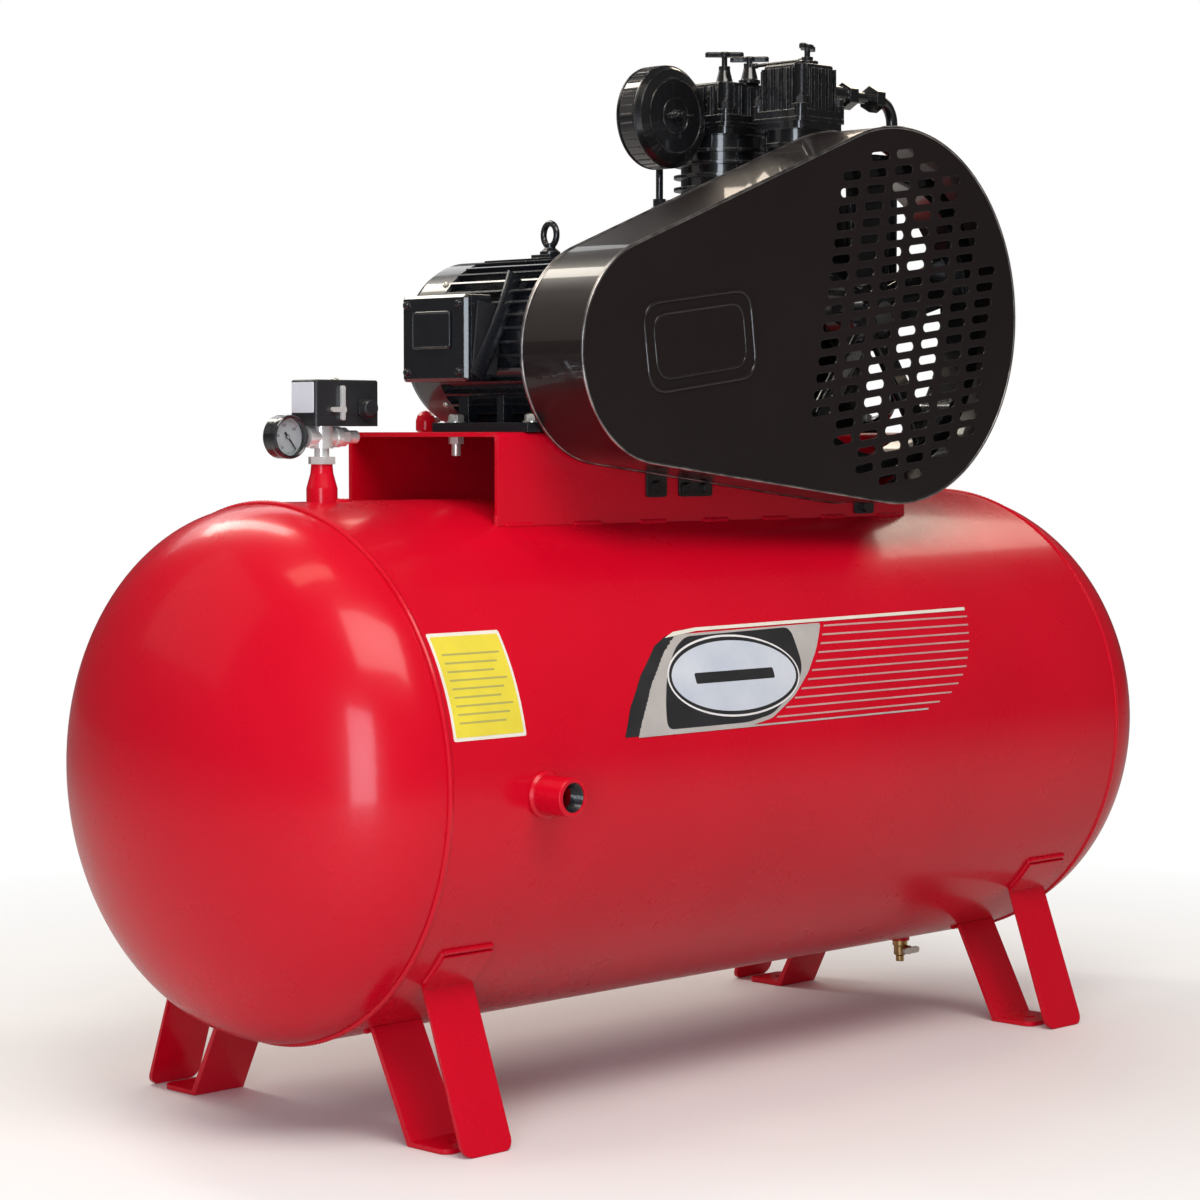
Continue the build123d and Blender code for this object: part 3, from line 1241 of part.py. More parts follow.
with BuildPart() as gauge_needle:
    needle_plane = Plane(origin=(GAUGE_X, -5, MANIFOLD_Z), x_dir=(1, 0, 0), z_dir=(0, -1, 0))
    with BuildSketch(needle_plane):
        Circle(3)
        Polygon((-7, -1.4), (-7, 1.4), (19, 0.4), (19, -0.4), align=None, rotation=NEEDLE_REST)
    extrude(amount=1)
    rod((GAUGE_X, -5, MANIFOLD_Z), (0, 1, 0), PIVOT_R, 2.8)
pieces["gauge_needle"] = gauge_needle

with BuildPart() as gauge_lens:
    turn_y(GAUGE_X, MANIFOLD_Z, [(0, -11.5), (DIAL_R, -11.5), (DIAL_R, -9.5), (0, -9.5)])
pieces["gauge_lens"] = gauge_lens

with BuildPart() as switch_base:
    block(SWITCH_X, SWITCH_Y, SWITCH_Z[:2])
    fillet(edges().filter_by(Axis.Z), 4)
    rod((MANIFOLD_X, 0, SWITCH_Z[0] - 1), (0, 0, 1), 5, 6, Mode.SUBTRACT)
pieces["switch_base"] = switch_base

COVER_WALL = 2.0
LEVER_X = -540.0
LEVER_Z = 862.0
LEVER_HIGH = 29.0
LEVER_LOW = 13.0
LEVER_REACH = 18.0
LEVER_WIDTH = 6.0
GLAND_X = -501.0
GLAND_Z = 864.0
GLAND_HOLE_R = 6.0
with BuildPart() as switch_cover:
    block(SWITCH_X, SWITCH_Y, SWITCH_Z[1:])
    fillet(edges().filter_by(Axis.Z), 4)
    fillet(edges().group_by(Axis.Z)[-1], 3)
    block(
        (SWITCH_X[0] + COVER_WALL, SWITCH_X[1] - COVER_WALL),
        (SWITCH_Y[0] + COVER_WALL, SWITCH_Y[1] - COVER_WALL),
        (SWITCH_Z[1] - 1, SWITCH_Z[2] - COVER_WALL),
        Mode.SUBTRACT,
    )
    rod((LEVER_X, SWITCH_Y[0] - 1, LEVER_Z), (0, 1, 0), 2.05, 5, Mode.SUBTRACT)
    rod((GLAND_X, SWITCH_Y[0] - 1, GLAND_Z), (0, 1, 0), GLAND_HOLE_R, 5, Mode.SUBTRACT)
pieces["switch_cover"] = switch_cover

with BuildPart() as switch_lever:
    rod((LEVER_X, SWITCH_Y[0] - 1, LEVER_Z), (0, 1, 0), 2, 8)
    with BuildSketch(front_plane(SWITCH_Y[0] - 0.6)):
        with Locations((LEVER_X, LEVER_Z)):
            Circle(5)
        with Locations((LEVER_X, LEVER_Z + (LEVER_HIGH - LEVER_LOW) / 2)):
            RectangleRounded(LEVER_WIDTH, LEVER_HIGH + LEVER_LOW, LEVER_WIDTH / 2 - 0.1)
        with Locations((LEVER_X - LEVER_REACH / 2, LEVER_Z)):
            RectangleRounded(LEVER_REACH, LEVER_WIDTH, LEVER_WIDTH / 2 - 0.1)
    extrude(amount=4)
pieces["switch_lever"] = switch_lever

with BuildPart() as cable_gland:
    rod((GLAND_X, SWITCH_Y[0] + 2, GLAND_Z), (0, -1, 0), GLAND_HOLE_R, 2)
    nut((GLAND_X, SWITCH_Y[0], GLAND_Z), (0, -1, 0), 27, 4)
    rod((GLAND_X, SWITCH_Y[0] - 4, GLAND_Z), (0, -1, 0), 11, 8)
    fillet(edges().group_by(Axis.Y)[0], 3)
pieces["cable_gland"] = cable_gland

# --- Safety valve and drain ---------------------------------------------------------------------
riser_foot = tank_surface(RELIEF_Y) + 20
LUG_X = RELIEF_X + 17
LUG_Z = 851.0
with BuildPart() as safety_valve:
    turn_z(
        RELIEF_X,
        RELIEF_Y,
        [
            (5, riser_foot), (9, riser_foot), (9, 834), (13, 838), (13, 850), (11, 857), (6, 862),
            (0, 864), (0, 845), (5, 845),
        ],
    )
    block((RELIEF_X + 11, LUG_X + 3), (RELIEF_Y - 2, RELIEF_Y + 2), (LUG_Z - 4, LUG_Z + 4))
    rod((LUG_X, RELIEF_Y - 5, LUG_Z), (0, 1, 0), 1.25, 10, Mode.SUBTRACT)
pieces["safety_valve"] = safety_valve

with BuildPart() as safety_lever:
    for side in (-1, 1):
        cheek = sorted((RELIEF_Y + side * 2.4, RELIEF_Y + side * 4.2))
        block((LUG_X - 2.8, LUG_X + 5), cheek, (LUG_Z - 2.8, LUG_Z + 2.8))
    block((LUG_X + 4, LUG_X + 30), (RELIEF_Y - 4.2, RELIEF_Y + 4.2), (LUG_Z - 1.2, LUG_Z + 1.2))
    rod((LUG_X, RELIEF_Y - 4, LUG_Z), (0, 1, 0), 1.2, 8)
pieces["safety_lever"] = safety_lever

COCK_Z = 76.0
with BuildPart() as drain_cock:
    turn_z(
        DRAIN_X,
        0,
        [
            (3, tank_bottom - 12), (11, tank_bottom - 12), (11, COCK_Z + 6), (9, COCK_Z + 4),
            (9, COCK_Z - 8), (6, COCK_Z - 10), (6, COCK_Z - 18), (3, COCK_Z - 18),
        ],
    )
    rod((DRAIN_X, -6, COCK_Z), (0, -1, 0), 6.5, 12)
    rod((DRAIN_X, -8, COCK_Z), (0, -1, 0), 3.05, 20, Mode.SUBTRACT)
pieces["drain_cock"] = drain_cock

with BuildPart() as drain_handle:
    rod((DRAIN_X, -9, COCK_Z), (0, -1, 0), 3, 13)
    with BuildSketch(front_plane(-19)):
        with Locations((DRAIN_X, COCK_Z)):
            SlotOverall(34, 9)
    extrude(amount=4)
pieces["drain_handle"] = drain_handle

# --- Write the parts ----------------------------------------------------------------------------
os.makedirs("parts", exist_ok=True)
for name, piece in pieces.items():
    piece.part.label = name
    export_step(piece.part, f"parts/{name}.step")
print(len(pieces), "nodes")
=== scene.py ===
import bmesh
import bpy
import json
from math import atan2, cos, pi, radians, sin, sqrt, tau

from mathutils import Matrix, Vector


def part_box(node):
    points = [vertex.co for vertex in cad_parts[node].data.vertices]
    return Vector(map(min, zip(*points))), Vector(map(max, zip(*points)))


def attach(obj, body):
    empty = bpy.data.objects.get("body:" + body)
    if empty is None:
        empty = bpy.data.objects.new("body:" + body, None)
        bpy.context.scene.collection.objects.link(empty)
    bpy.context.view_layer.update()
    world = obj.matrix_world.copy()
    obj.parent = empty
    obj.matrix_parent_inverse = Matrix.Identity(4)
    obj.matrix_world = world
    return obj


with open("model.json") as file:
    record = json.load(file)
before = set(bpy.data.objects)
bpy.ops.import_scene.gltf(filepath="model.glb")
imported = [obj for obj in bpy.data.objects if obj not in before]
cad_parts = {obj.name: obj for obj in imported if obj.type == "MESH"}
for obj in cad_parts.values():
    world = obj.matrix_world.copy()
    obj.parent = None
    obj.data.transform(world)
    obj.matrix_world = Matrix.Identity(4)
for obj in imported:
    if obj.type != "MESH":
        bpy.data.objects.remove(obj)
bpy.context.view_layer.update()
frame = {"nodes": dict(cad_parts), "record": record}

NODES = frame["nodes"]
SCENE = bpy.context.scene


def box(node):
    """Lowest corner, highest corner and centre of a CAD node."""
    low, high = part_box(node)
    return low, high, (low + high) / 2


# --- Camera ---
CAMERA_PLACE = (-3.010, -2.916, 0.829)
CAMERA_YAW = radians(45.21)
CAMERA_PITCH = radians(-2.98)
LENS = 93.98
SENSOR = 36.0


def make_camera():
    """The camera that was fitted to the photograph."""
    data = bpy.data.cameras.new("camera")
    data.lens = LENS
    data.sensor_width = SENSOR
    data.clip_end = 100
    camera = bpy.data.objects.new("camera", data)
    SCENE.collection.objects.link(camera)
    camera.location = CAMERA_PLACE
    ahead = Vector(
        (
            sin(CAMERA_YAW) * cos(CAMERA_PITCH),
            cos(CAMERA_YAW) * cos(CAMERA_PITCH),
            sin(CAMERA_PITCH),
        )
    )
    camera.rotation_euler = ahead.to_track_quat("-Z", "Y").to_euler()
    SCENE.camera = camera


# --- Node materials ---
BEVEL_SAMPLES = 4
EDGE_START = 0.97
EDGE_FULL = 0.80
DRIFT_SCALE = 3.5
DULL_SCALE = 9
# Noise scale of the lighter edges: rubbed wear, and on the pump's black a painted highlight.
WEAR_AND_SHEEN_SCALE = 60
CAST_SCALE = 95
PEEL_SCALE = 420
STAIN_SCALE = 45
POLISH_SCALE = 60
ZINC = (0.74, 0.72, 0.66)
ZINC_STAIN = (0.58, 0.54, 0.44)
PUMP_BLACK = (0.010, 0.010, 0.011)
LOOKS = {}


class Graph:
    """A material's node tree, with short calls for its nodes; LOOKS holds the material by its name."""

    def __init__(self, name, color, roughness, metallic=0.0, **sockets):
        self.material = bpy.data.materials.new(name)
        LOOKS[name] = self.material
        self.material.use_nodes = True
        self.tree = self.material.node_tree
        self.tree.nodes.clear()
        self.shader = self.node("ShaderNodeBsdfPrincipled")
        output = self.node("ShaderNodeOutputMaterial")
        self.link(self.shader.outputs["BSDF"], output.inputs["Surface"])
        self.place = self.node("ShaderNodeTexCoord").outputs["Object"]
        self.shader.inputs["Base Color"].default_value = (*color, 1)
        self.shader.inputs["Roughness"].default_value = roughness
        self.shader.inputs["Metallic"].default_value = metallic
        self.material.diffuse_color = (*color, 1)
        for socket, value in sockets.items():
            self.shader.inputs[socket.replace("_", " ")].default_value = value

    def node(self, kind, **values):
        made = self.tree.nodes.new(kind)
        for name, value in values.items():
            setattr(made, name, value)
        return made

    def link(self, start, end):
        self.tree.links.new(start, end)

    def noise(self, scale, detail=3.0, roughness=0.5, stretch=None):
        """Noise in object space, with an optional stretch along the axes."""
        made = self.node("ShaderNodeTexNoise")
        made.inputs["Scale"].default_value = scale
        made.inputs["Detail"].default_value = detail
        made.inputs["Roughness"].default_value = roughness
        source = self.place
        if stretch:
            mapping = self.node("ShaderNodeMapping")
            mapping.inputs["Scale"].default_value = stretch
            self.link(source, mapping.inputs["Vector"])
            source = mapping.outputs["Vector"]
        self.link(source, made.inputs["Vector"])
        return made.outputs["Fac"]

    def span(self, source, low, high, to_low=0.0, to_high=1.0):
        """Maps a value range onto another, clamped."""
        made = self.node("ShaderNodeMapRange")
        ends = {"From Min": low, "From Max": high, "To Min": to_low, "To Max": to_high}
        for socket, value in ends.items():
            made.inputs[socket].default_value = value
        self.link(source, made.inputs["Value"])
        return made.outputs["Result"]

    def blend(self, factor, first, second):
        """Mixes two colours by a factor; a colour is a tuple or a socket."""
        made = self.node("ShaderNodeMix", data_type="RGBA")
        self.link(factor, made.inputs["Factor"])
        for socket, value in ((made.inputs[6], first), (made.inputs[7], second)):
            if isinstance(value, tuple):
                socket.default_value = (*value, 1)
            else:
                self.link(value, socket)
        return made.outputs[2]

    def mottled(self, scale, first, second, low=0.35):
        """Two tones mixed by soft noise."""
        return self.blend(self.span(self.noise(scale, 4), low, 0.7), first, second)

    def color(self, source):
        self.link(source, self.shader.inputs["Base Color"])

    def roughness(self, source):
        self.link(source, self.shader.inputs["Roughness"])

    def bump(self, height, distance, strength=1.0):
        """Adds one more layer of bump under the shader's normal."""
        made = self.node("ShaderNodeBump")
        made.inputs["Distance"].default_value = distance
        made.inputs["Strength"].default_value = strength
        self.link(height, made.inputs["Height"])
        normal = self.shader.inputs["Normal"]
        if normal.links:
            self.link(normal.links[0].from_socket, made.inputs["Normal"])
        self.link(made.outputs["Normal"], normal)

    def rounding(self, radius):
        """Rounds sharp edges in the shading; the result is 1 on those edges and 0 on flats."""
        bevel = self.node("ShaderNodeBevel", samples=BEVEL_SAMPLES)
        bevel.inputs["Radius"].default_value = radius
        self.link(bevel.outputs["Normal"], self.shader.inputs["Normal"])
        turned = self.node("ShaderNodeVectorMath", operation="DOT_PRODUCT")
        self.link(bevel.outputs["Normal"], turned.inputs[0])
        self.link(self.node("ShaderNodeNewGeometry").outputs["Normal"], turned.inputs[1])
        return self.span(turned.outputs["Value"], EDGE_START, EDGE_FULL)


def paint(
    name, color, dark, wear_and_sheen, roughness, rough_spread, peel,
    cast=0.0, coat=0.0, coat_roughness=0.08, shine=0.5, wear_and_sheen_radius=0.0016,
):
    """Sprayed paint: drifting tone, orange peel, dulled patches, and lighter edges. On most paints the
    lighter edges are rubbed wear; on the pump's black they are a painted highlight standing in for the
    sheen of light on its fins' edges.
    """
    graph = Graph(
        name, color, roughness,
        Coat_Weight=coat, Coat_Roughness=coat_roughness, Specular_IOR_Level=shine,
    )
    drift = graph.span(graph.noise(DRIFT_SCALE, 3), 0.3, 0.7)
    tone = graph.blend(drift, dark, color)
    # Lighter edge colour: rubbed wear, and on the pump's black a painted highlight for the sheen on its
    # fins.
    wear_and_sheen_edges = graph.node("ShaderNodeMath", operation="MULTIPLY")
    graph.link(graph.rounding(wear_and_sheen_radius), wear_and_sheen_edges.inputs[0])
    graph.link(graph.span(graph.noise(WEAR_AND_SHEEN_SCALE, 4, 0.7), 0.42, 0.66), wear_and_sheen_edges.inputs[1])
    graph.color(graph.blend(wear_and_sheen_edges.outputs["Value"], tone, wear_and_sheen))
    dull = graph.noise(DULL_SCALE, 5, 0.6)
    graph.roughness(graph.span(dull, 0.25, 0.75, roughness, roughness + rough_spread))
    graph.bump(graph.noise(PEEL_SCALE, 2), peel)
    if cast:
        graph.bump(graph.noise(CAST_SCALE, 4, 0.6), cast)


METAL_EDGE = 0.0006
SCRATCH = 0.00004
SCRATCH_SCALE = 600
SCRATCH_STRETCH = (1, 1, 14)


def metal(name, color, tint, roughness, rough_spread, metallic=1.0):
    """Bare metal: faint stains, uneven polish and fine directional marks."""
    graph = Graph(name, color, roughness, metallic=metallic)
    graph.rounding(METAL_EDGE)
    graph.color(graph.mottled(STAIN_SCALE, color, tint))
    polish = graph.noise(POLISH_SCALE, 5, 0.65)
    graph.roughness(graph.span(polish, 0.3, 0.7, roughness, roughness + rough_spread))
    graph.bump(graph.noise(SCRATCH_SCALE, 2, 0.5, SCRATCH_STRETCH), SCRATCH)


def moulded(name, color, light, roughness, grain, grain_depth):
    """Moulded plastic or rubber: fine grain and faint handling marks."""
    graph = Graph(name, color, roughness)
    graph.rounding(0.0010)
    graph.color(graph.blend(graph.span(graph.noise(30, 4), 0.4, 0.75), color, light))
    graph.roughness(graph.span(graph.noise(22, 4), 0.3, 0.7, roughness, roughness + 0.15))
    graph.bump(graph.noise(grain, 3), grain_depth)


def clear(name, color, roughness, cleanest, dullest):
    """Clear glass or plastic with faint wiping marks."""
    graph = Graph(name, color, roughness, Transmission_Weight=1.0, IOR=1.45)
    graph.roughness(graph.span(graph.noise(60, 3), 0.3, 0.7, cleanest, dullest))


def make_finishes():
    """The finish of each material slot, named after the slot, and the rubbed metal of the guard's rims."""
    paint(
        "red_paint", (0.62, 0.0015, 0.017), (0.56, 0.001, 0.014), (0.42, 0.008, 0.012),
        0.24, 0.10, 0.00003, coat=0.30, coat_roughness=0.12, shine=0.18,
    )
    # The pale edge colour here is a painted highlight: it stands in for the sheen of light along the fins'
    # edges.
    paint(
        "pump_black", PUMP_BLACK, (0.005, 0.005, 0.006), (0.15, 0.145, 0.14),
        0.16, 0.14, 0.00003, cast=0.00015, coat=0.8, coat_roughness=0.05, wear_and_sheen_radius=0.0024,
    )
    paint(
        "motor_black", (0.010, 0.011, 0.014), (0.006, 0.007, 0.009), (0.05, 0.05, 0.052),
        0.20, 0.14, 0.00003, cast=0.00008, coat=0.6, coat_roughness=0.06,
    )
    paint(
        "guard_black", (0.013, 0.008, 0.008), (0.010, 0.006, 0.006), (0.05, 0.04, 0.038),
        0.28, 0.08, 0.00002, coat=0.5, coat_roughness=0.04, shine=0.3,
    )
    metal("rubbed_rim", (0.42, 0.40, 0.39), (0.12, 0.11, 0.11), 0.26, 0.2)
    metal("zinc_steel", ZINC, ZINC_STAIN, 0.22, 0.2, metallic=0.55)
    metal("chrome_fittings", (0.86, 0.86, 0.85), (0.74, 0.73, 0.70), 0.12, 0.12, metallic=0.5)
    metal("brass_fittings", (0.62, 0.44, 0.18), (0.42, 0.28, 0.12), 0.24, 0.2)
    metal("machined_steel", (0.48, 0.48, 0.48), (0.34, 0.34, 0.34), 0.28, 0.2)
    metal("aluminium_alloy", (0.70, 0.70, 0.71), (0.55, 0.55, 0.56), 0.3, 0.2)
    moulded("belt_rubber", (0.018, 0.018, 0.018), (0.035, 0.034, 0.033), 0.62, 500, 0.00012)
    moulded("black_plastic", (0.014, 0.014, 0.016), (0.022, 0.022, 0.025), 0.30, 900, 0.00004)
    moulded("dial_white", (0.93, 0.94, 0.97), (0.88, 0.89, 0.92), 0.35, 700, 0.00001)
    clear("clear_lens", (0.96, 0.98, 0.98), 0.03, 0.02, 0.07)


# name, colour, second tone
INKS = (
    ("yellow", (0.80, 0.66, 0.05), (0.72, 0.58, 0.05)),
    ("cream", (0.82, 0.77, 0.68), (0.74, 0.69, 0.60)),
    ("notice_grey", (0.46, 0.40, 0.10), (0.40, 0.36, 0.10)),
    ("notice_red", (0.50, 0.02, 0.02), (0.42, 0.02, 0.02)),
    ("grey", (0.50, 0.46, 0.44), (0.42, 0.38, 0.36)),
    ("pink", (0.62, 0.36, 0.34), (0.52, 0.26, 0.25)),
    ("black", (0.02, 0.02, 0.022), (0.03, 0.028, 0.03)),
    ("white", (0.82, 0.80, 0.80), (0.74, 0.70, 0.70)),
    ("pale_blue", (0.52, 0.56, 0.64), (0.62, 0.64, 0.70)),
    ("plate_grey", (0.74, 0.74, 0.80), (0.66, 0.66, 0.72)),
)


def ink(name, color, other):
    """A printed film with a faintly uneven tone."""
    graph = Graph(f"print_{name}", color, 0.35, Coat_Weight=0.3)
    graph.color(graph.mottled(18, color, other))
    graph.roughness(graph.span(graph.noise(40, 3), 0.3, 0.7, 0.28, 0.45))
    graph.bump(graph.noise(300, 2), 0.00002)


SLOTS = {row["node"]: row["material_slot"] for row in frame["record"]["subparts"]}
BOLT_LOOK = "bolts_zinc_and_painted"
PAINTED_ABOVE = 1.06


def bolts():
    """Zinc on the base bolts, and the pump's black paint on the bolts of the heads."""
    graph = Graph(BOLT_LOOK, ZINC, 0.3)
    graph.rounding(METAL_EDGE)
    height = graph.node("ShaderNodeSeparateXYZ")
    graph.link(graph.place, height.inputs[0])
    painted = graph.span(height.outputs["Z"], PAINTED_ABOVE, PAINTED_ABOVE + 0.001)
    zinc = graph.mottled(STAIN_SCALE, ZINC, ZINC_STAIN)
    graph.color(graph.blend(painted, zinc, PUMP_BLACK))
    graph.link(graph.span(painted, 0, 1, 0.55, 0), graph.shader.inputs["Metallic"])
    graph.roughness(graph.span(graph.noise(POLISH_SCALE, 5, 0.65), 0.3, 0.7, 0.22, 0.42))
    graph.bump(graph.noise(PEEL_SCALE, 2), 0.00003)


def dress_nodes():
    """Gives every CAD node its slot's finish, and the bolts their own."""
    for name, node in NODES.items():
        look = BOLT_LOOK if name == "hex_bolts" else SLOTS[name]
        node.data.materials.clear()
        node.data.materials.append(LOOKS[look])


# --- Stage and light ---
FLOOR_HALF = 30.0
FLOOR_DROP = 0.0005
FLOOR_CLEAR = 0.6
FLOOR_FADE = 2.1
FLOOR_SEEN = 0.88
FLOOR_REFLECTED = 0.60
SKY_SHINE = 0.06
SKY_FILL = 0.36
HEAD_SPOT = (-0.73, -0.27, 0.45)
# name, place, target, size, watts, colour
LIGHTS = (
    ("key_top", (-1.2, -2.2, 3.4), (0, 0, 0.6), (2.8, 1.6), 96, (1.0, 0.96, 0.90)),
    ("window_left", (-2.8, -1.95, 0.70), HEAD_SPOT, (0.85, 1.9), 46, (0.82, 0.90, 1.0)),
    ("overhead_left", (-1.4, 0.1, 3.2), HEAD_SPOT, (0.4, 1.2), 8, (1.0, 0.80, 0.62)),
    ("glow_back_left", (-2.6, 1.9, 2.3), HEAD_SPOT, (2.2, 2.0), 5, (1.0, 0.90, 0.84)),
    ("ceiling_right", (2.5, 1.0, 2.6), (0.3, -0.2, 0.68), (2.4, 0.8), 22, (1.0, 0.86, 0.70)),
    ("back_strip", (-0.3, 1.95, 3.1), (-0.3, -0.19, 1.0), (0.5, 1.8), 32, (1.0, 0.93, 0.82)),
    ("back_rim", (0.6, 2.8, 2.6), (0, 0, 0.9), (2.4, 1.0), 12, (1, 1, 1)),
)


def make_floor():
    """Pale floor that fades to plain white away from the object, and reflects less than it shows."""
    mesh = bpy.data.meshes.new("floor")
    corners = [(-FLOOR_HALF, -FLOOR_HALF, 0), (FLOOR_HALF, -FLOOR_HALF, 0)]
    corners += [(FLOOR_HALF, FLOOR_HALF, 0), (-FLOOR_HALF, FLOOR_HALF, 0)]
    mesh.from_pydata(corners, [], [(0, 1, 2, 3)])
    floor = bpy.data.objects.new("floor", mesh)
    SCENE.collection.objects.link(floor)
    floor.location.z = -FLOOR_DROP
    graph = Graph("floor_pale", (FLOOR_SEEN,) * 3, 0.5, Specular_IOR_Level=0.2)
    seen = graph.node("ShaderNodeLightPath").outputs["Is Camera Ray"]
    graph.color(graph.blend(seen, (FLOOR_REFLECTED,) * 3, (FLOOR_SEEN,) * 3))
    graph.roughness(graph.span(graph.noise(3, 4), 0.3, 0.7, 0.5, 0.62))
    glow = graph.node("ShaderNodeEmission")
    glow.inputs["Strength"].default_value = 1.0
    away = graph.node("ShaderNodeVectorMath", operation="LENGTH")
    graph.link(graph.place, away.inputs[0])
    fade = graph.node("ShaderNodeMath", operation="MULTIPLY")
    graph.link(graph.span(away.outputs["Value"], FLOOR_CLEAR, FLOOR_FADE), fade.inputs[0])
    graph.link(seen, fade.inputs[1])
    mixed = graph.node("ShaderNodeMixShader")
    graph.link(fade.outputs["Value"], mixed.inputs[0])
    graph.link(graph.shader.outputs["BSDF"], mixed.inputs[1])
    graph.link(glow.outputs["Emission"], mixed.inputs[2])
    output = next(n for n in graph.tree.nodes if n.type == "OUTPUT_MATERIAL")
    graph.link(mixed.outputs["Shader"], output.inputs["Surface"])
    mesh.materials.append(graph.material)


def make_world():
    """White to the eye, a soft fill on surfaces, and nearly dark in glossy reflections."""
    world = bpy.data.worlds.new("studio")
    SCENE.world = world
    world.use_nodes = True
    tree = world.node_tree
    tree.nodes.clear()
    output = tree.nodes.new("ShaderNodeOutputWorld")
    sky = tree.nodes.new("ShaderNodeBackground")
    path = tree.nodes.new("ShaderNodeLightPath")
    sky.inputs["Color"].default_value = (1, 1, 1, 1)
    strength = SKY_SHINE
    gains = {"Is Diffuse Ray": SKY_FILL - SKY_SHINE, "Is Camera Ray": 1.0 - SKY_SHINE}
    for ray, gain in gains.items():
        step = tree.nodes.new("ShaderNodeMath")
        step.operation = "MULTIPLY_ADD"
        tree.links.new(path.outputs[ray], step.inputs[0])
        step.inputs[1].default_value = gain
        if isinstance(strength, float):
            step.inputs[2].default_value = strength
        else:
            tree.links.new(strength, step.inputs[2])
        strength = step.outputs["Value"]
    tree.links.new(strength, sky.inputs["Strength"])
    tree.links.new(sky.outputs["Background"], output.inputs["Surface"])


def soft_light(name, place, target, size, watts, color):
    """A rectangular softbox that faces a point."""
    data = bpy.data.lights.new(name, "AREA")
    data.shape = "RECTANGLE"
    data.size, data.size_y = size
    data.energy = watts
    data.color = color
    light = bpy.data.objects.new(name, data)
    SCENE.collection.objects.link(light)
    light.location = place
    facing = Vector(target) - Vector(place)
    light.rotation_euler = facing.to_track_quat("-Z", "Y").to_euler()


# --- Mesh building ---
SIDES = 10
SHARP_ANGLE = radians(40)
BEVEL_ANGLE = radians(35)
ON_AXIS = 1e-6


def piece(name, vertices, faces, finish, body="root", slot=None, bevel=0.0):
    """Makes one piece in the shared frame and puts it on its body; the slot argument is not used."""
    mesh = bpy.data.meshes.new(name)
    mesh.from_pydata([tuple(v) for v in vertices], [], faces)
    built = bmesh.new()
    built.from_mesh(mesh)
    bmesh.ops.recalc_face_normals(built, faces=built.faces)
    built.to_mesh(mesh)
    built.free()
    for polygon in mesh.polygons:
        polygon.use_smooth = True
    mesh.set_sharp_from_angle(angle=SHARP_ANGLE)
    mesh.materials.append(LOOKS[finish])
    made = bpy.data.objects.new(name, mesh)
    SCENE.collection.objects.link(made)
    if bevel:
        rounding = made.modifiers.new("bevel", "BEVEL")
        rounding.width = bevel
        rounding.segments = 2
        rounding.limit_method = "ANGLE"
        rounding.angle_limit = BEVEL_ANGLE
        rounding.harden_normals = True
    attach(made, body)


class Shape:
    """Collects vertices and faces of one piece that is made of several forms."""

    def __init__(self):
        self.vertices = []
        self.faces = []

    def add(self, vertices, faces):
        start = len(self.vertices)
        self.vertices += [Vector(v) for v in vertices]
        self.faces += [tuple(start + i for i in face) for face in faces]

    def make(self, name, finish, **options):
        piece(name, self.vertices, self.faces, finish, **options)

    def tube(self, points, radius, closed=False, ripple=0.0, sides=SIDES):
        """A round bar along points, with an optional ripple from ring to ring, like a weld's."""
        points = [Vector(p) for p in points]
        count = len(points)
        rings = []
        side = None
        for i, point in enumerate(points):
            before = points[(i - 1) % count] if closed or i else point
            after = points[(i + 1) % count] if closed or i < count - 1 else point
            ahead = (after - before).normalized()
            up = ahead.orthogonal() if side is None else side.cross(ahead)
            side = ahead.cross(up).normalized()
            up = side.cross(ahead).normalized()
            swell = radius * (1 + ripple * (1 if i % 2 else -1))
            ring = []
            for k in range(sides):
                angle = tau * k / sides
                ring.append(point + side * cos(angle) * swell + up * sin(angle) * swell)
            rings.append(ring)
        vertices = [v for ring in rings for v in ring]
        faces = []
        for i in range(count if closed else count - 1):
            low, high = i * sides, ((i + 1) % count) * sides
            for k in range(sides):
                faces.append((low + k, low + (k + 1) % sides, high + (k + 1) % sides, high + k))
        if not closed:
            faces.append(tuple(range(sides)))
            faces.append(tuple(range((count - 1) * sides, count * sides)))
        self.add(vertices, faces)

    def bead(self, points, radius, ripple=0.1, closed=False):
        """A weld bead along points."""
        self.tube(points, radius, closed=closed, ripple=ripple, sides=8)

    def lathe(self, origin, axis, profile, steps):
        """Turns (radius, height) points about an axis; the profile closes on itself or on the axis."""
        axis = Vector(axis).normalized()
        across = axis.orthogonal().normalized()
        other = axis.cross(across)
        vertices, faces, rows = [], [], []
        for radius, height in profile:
            if radius < ON_AXIS:
                rows.append([len(vertices)])
                vertices.append(Vector(origin) + axis * height)
                continue
            rows.append(list(range(len(vertices), len(vertices) + steps)))
            for k in range(steps):
                angle = tau * k / steps
                out = across * cos(angle) + other * sin(angle)
                vertices.append(Vector(origin) + out * radius + axis * height)
        pairs = list(zip(rows, rows[1:]))
        if profile[0][0] > ON_AXIS and profile[-1][0] > ON_AXIS:
            pairs.append((rows[-1], rows[0]))
        for low, high in pairs:
            for k in range(steps):
                nxt = (k + 1) % steps
                if len(low) == 1 and len(high) == 1:
                    continue
                if len(low) == 1:
                    faces.append((low[0], high[k], high[nxt]))
                elif len(high) == 1:
                    faces.append((low[k], high[0], low[nxt]))
                else:
                    faces.append((low[k], high[k], high[nxt], low[nxt]))
        self.add(vertices, faces)

    def slab(self, outline, origin, across, up, thickness):
        """A flat plate: a 2D outline drawn on two axes from an origin, thickened along their cross."""
        across, up = Vector(across).normalized(), Vector(up).normalized()
        out = across.cross(up)
        base = [Vector(origin) + across * u + up * v for u, v in outline]
        count = len(base)
        vertices = base + [v + out * thickness for v in base]
        faces = [tuple(range(count)), tuple(range(count, 2 * count))]
        faces += [(i, (i + 1) % count, count + (i + 1) % count, count + i) for i in range(count)]
        self.add(vertices, faces)


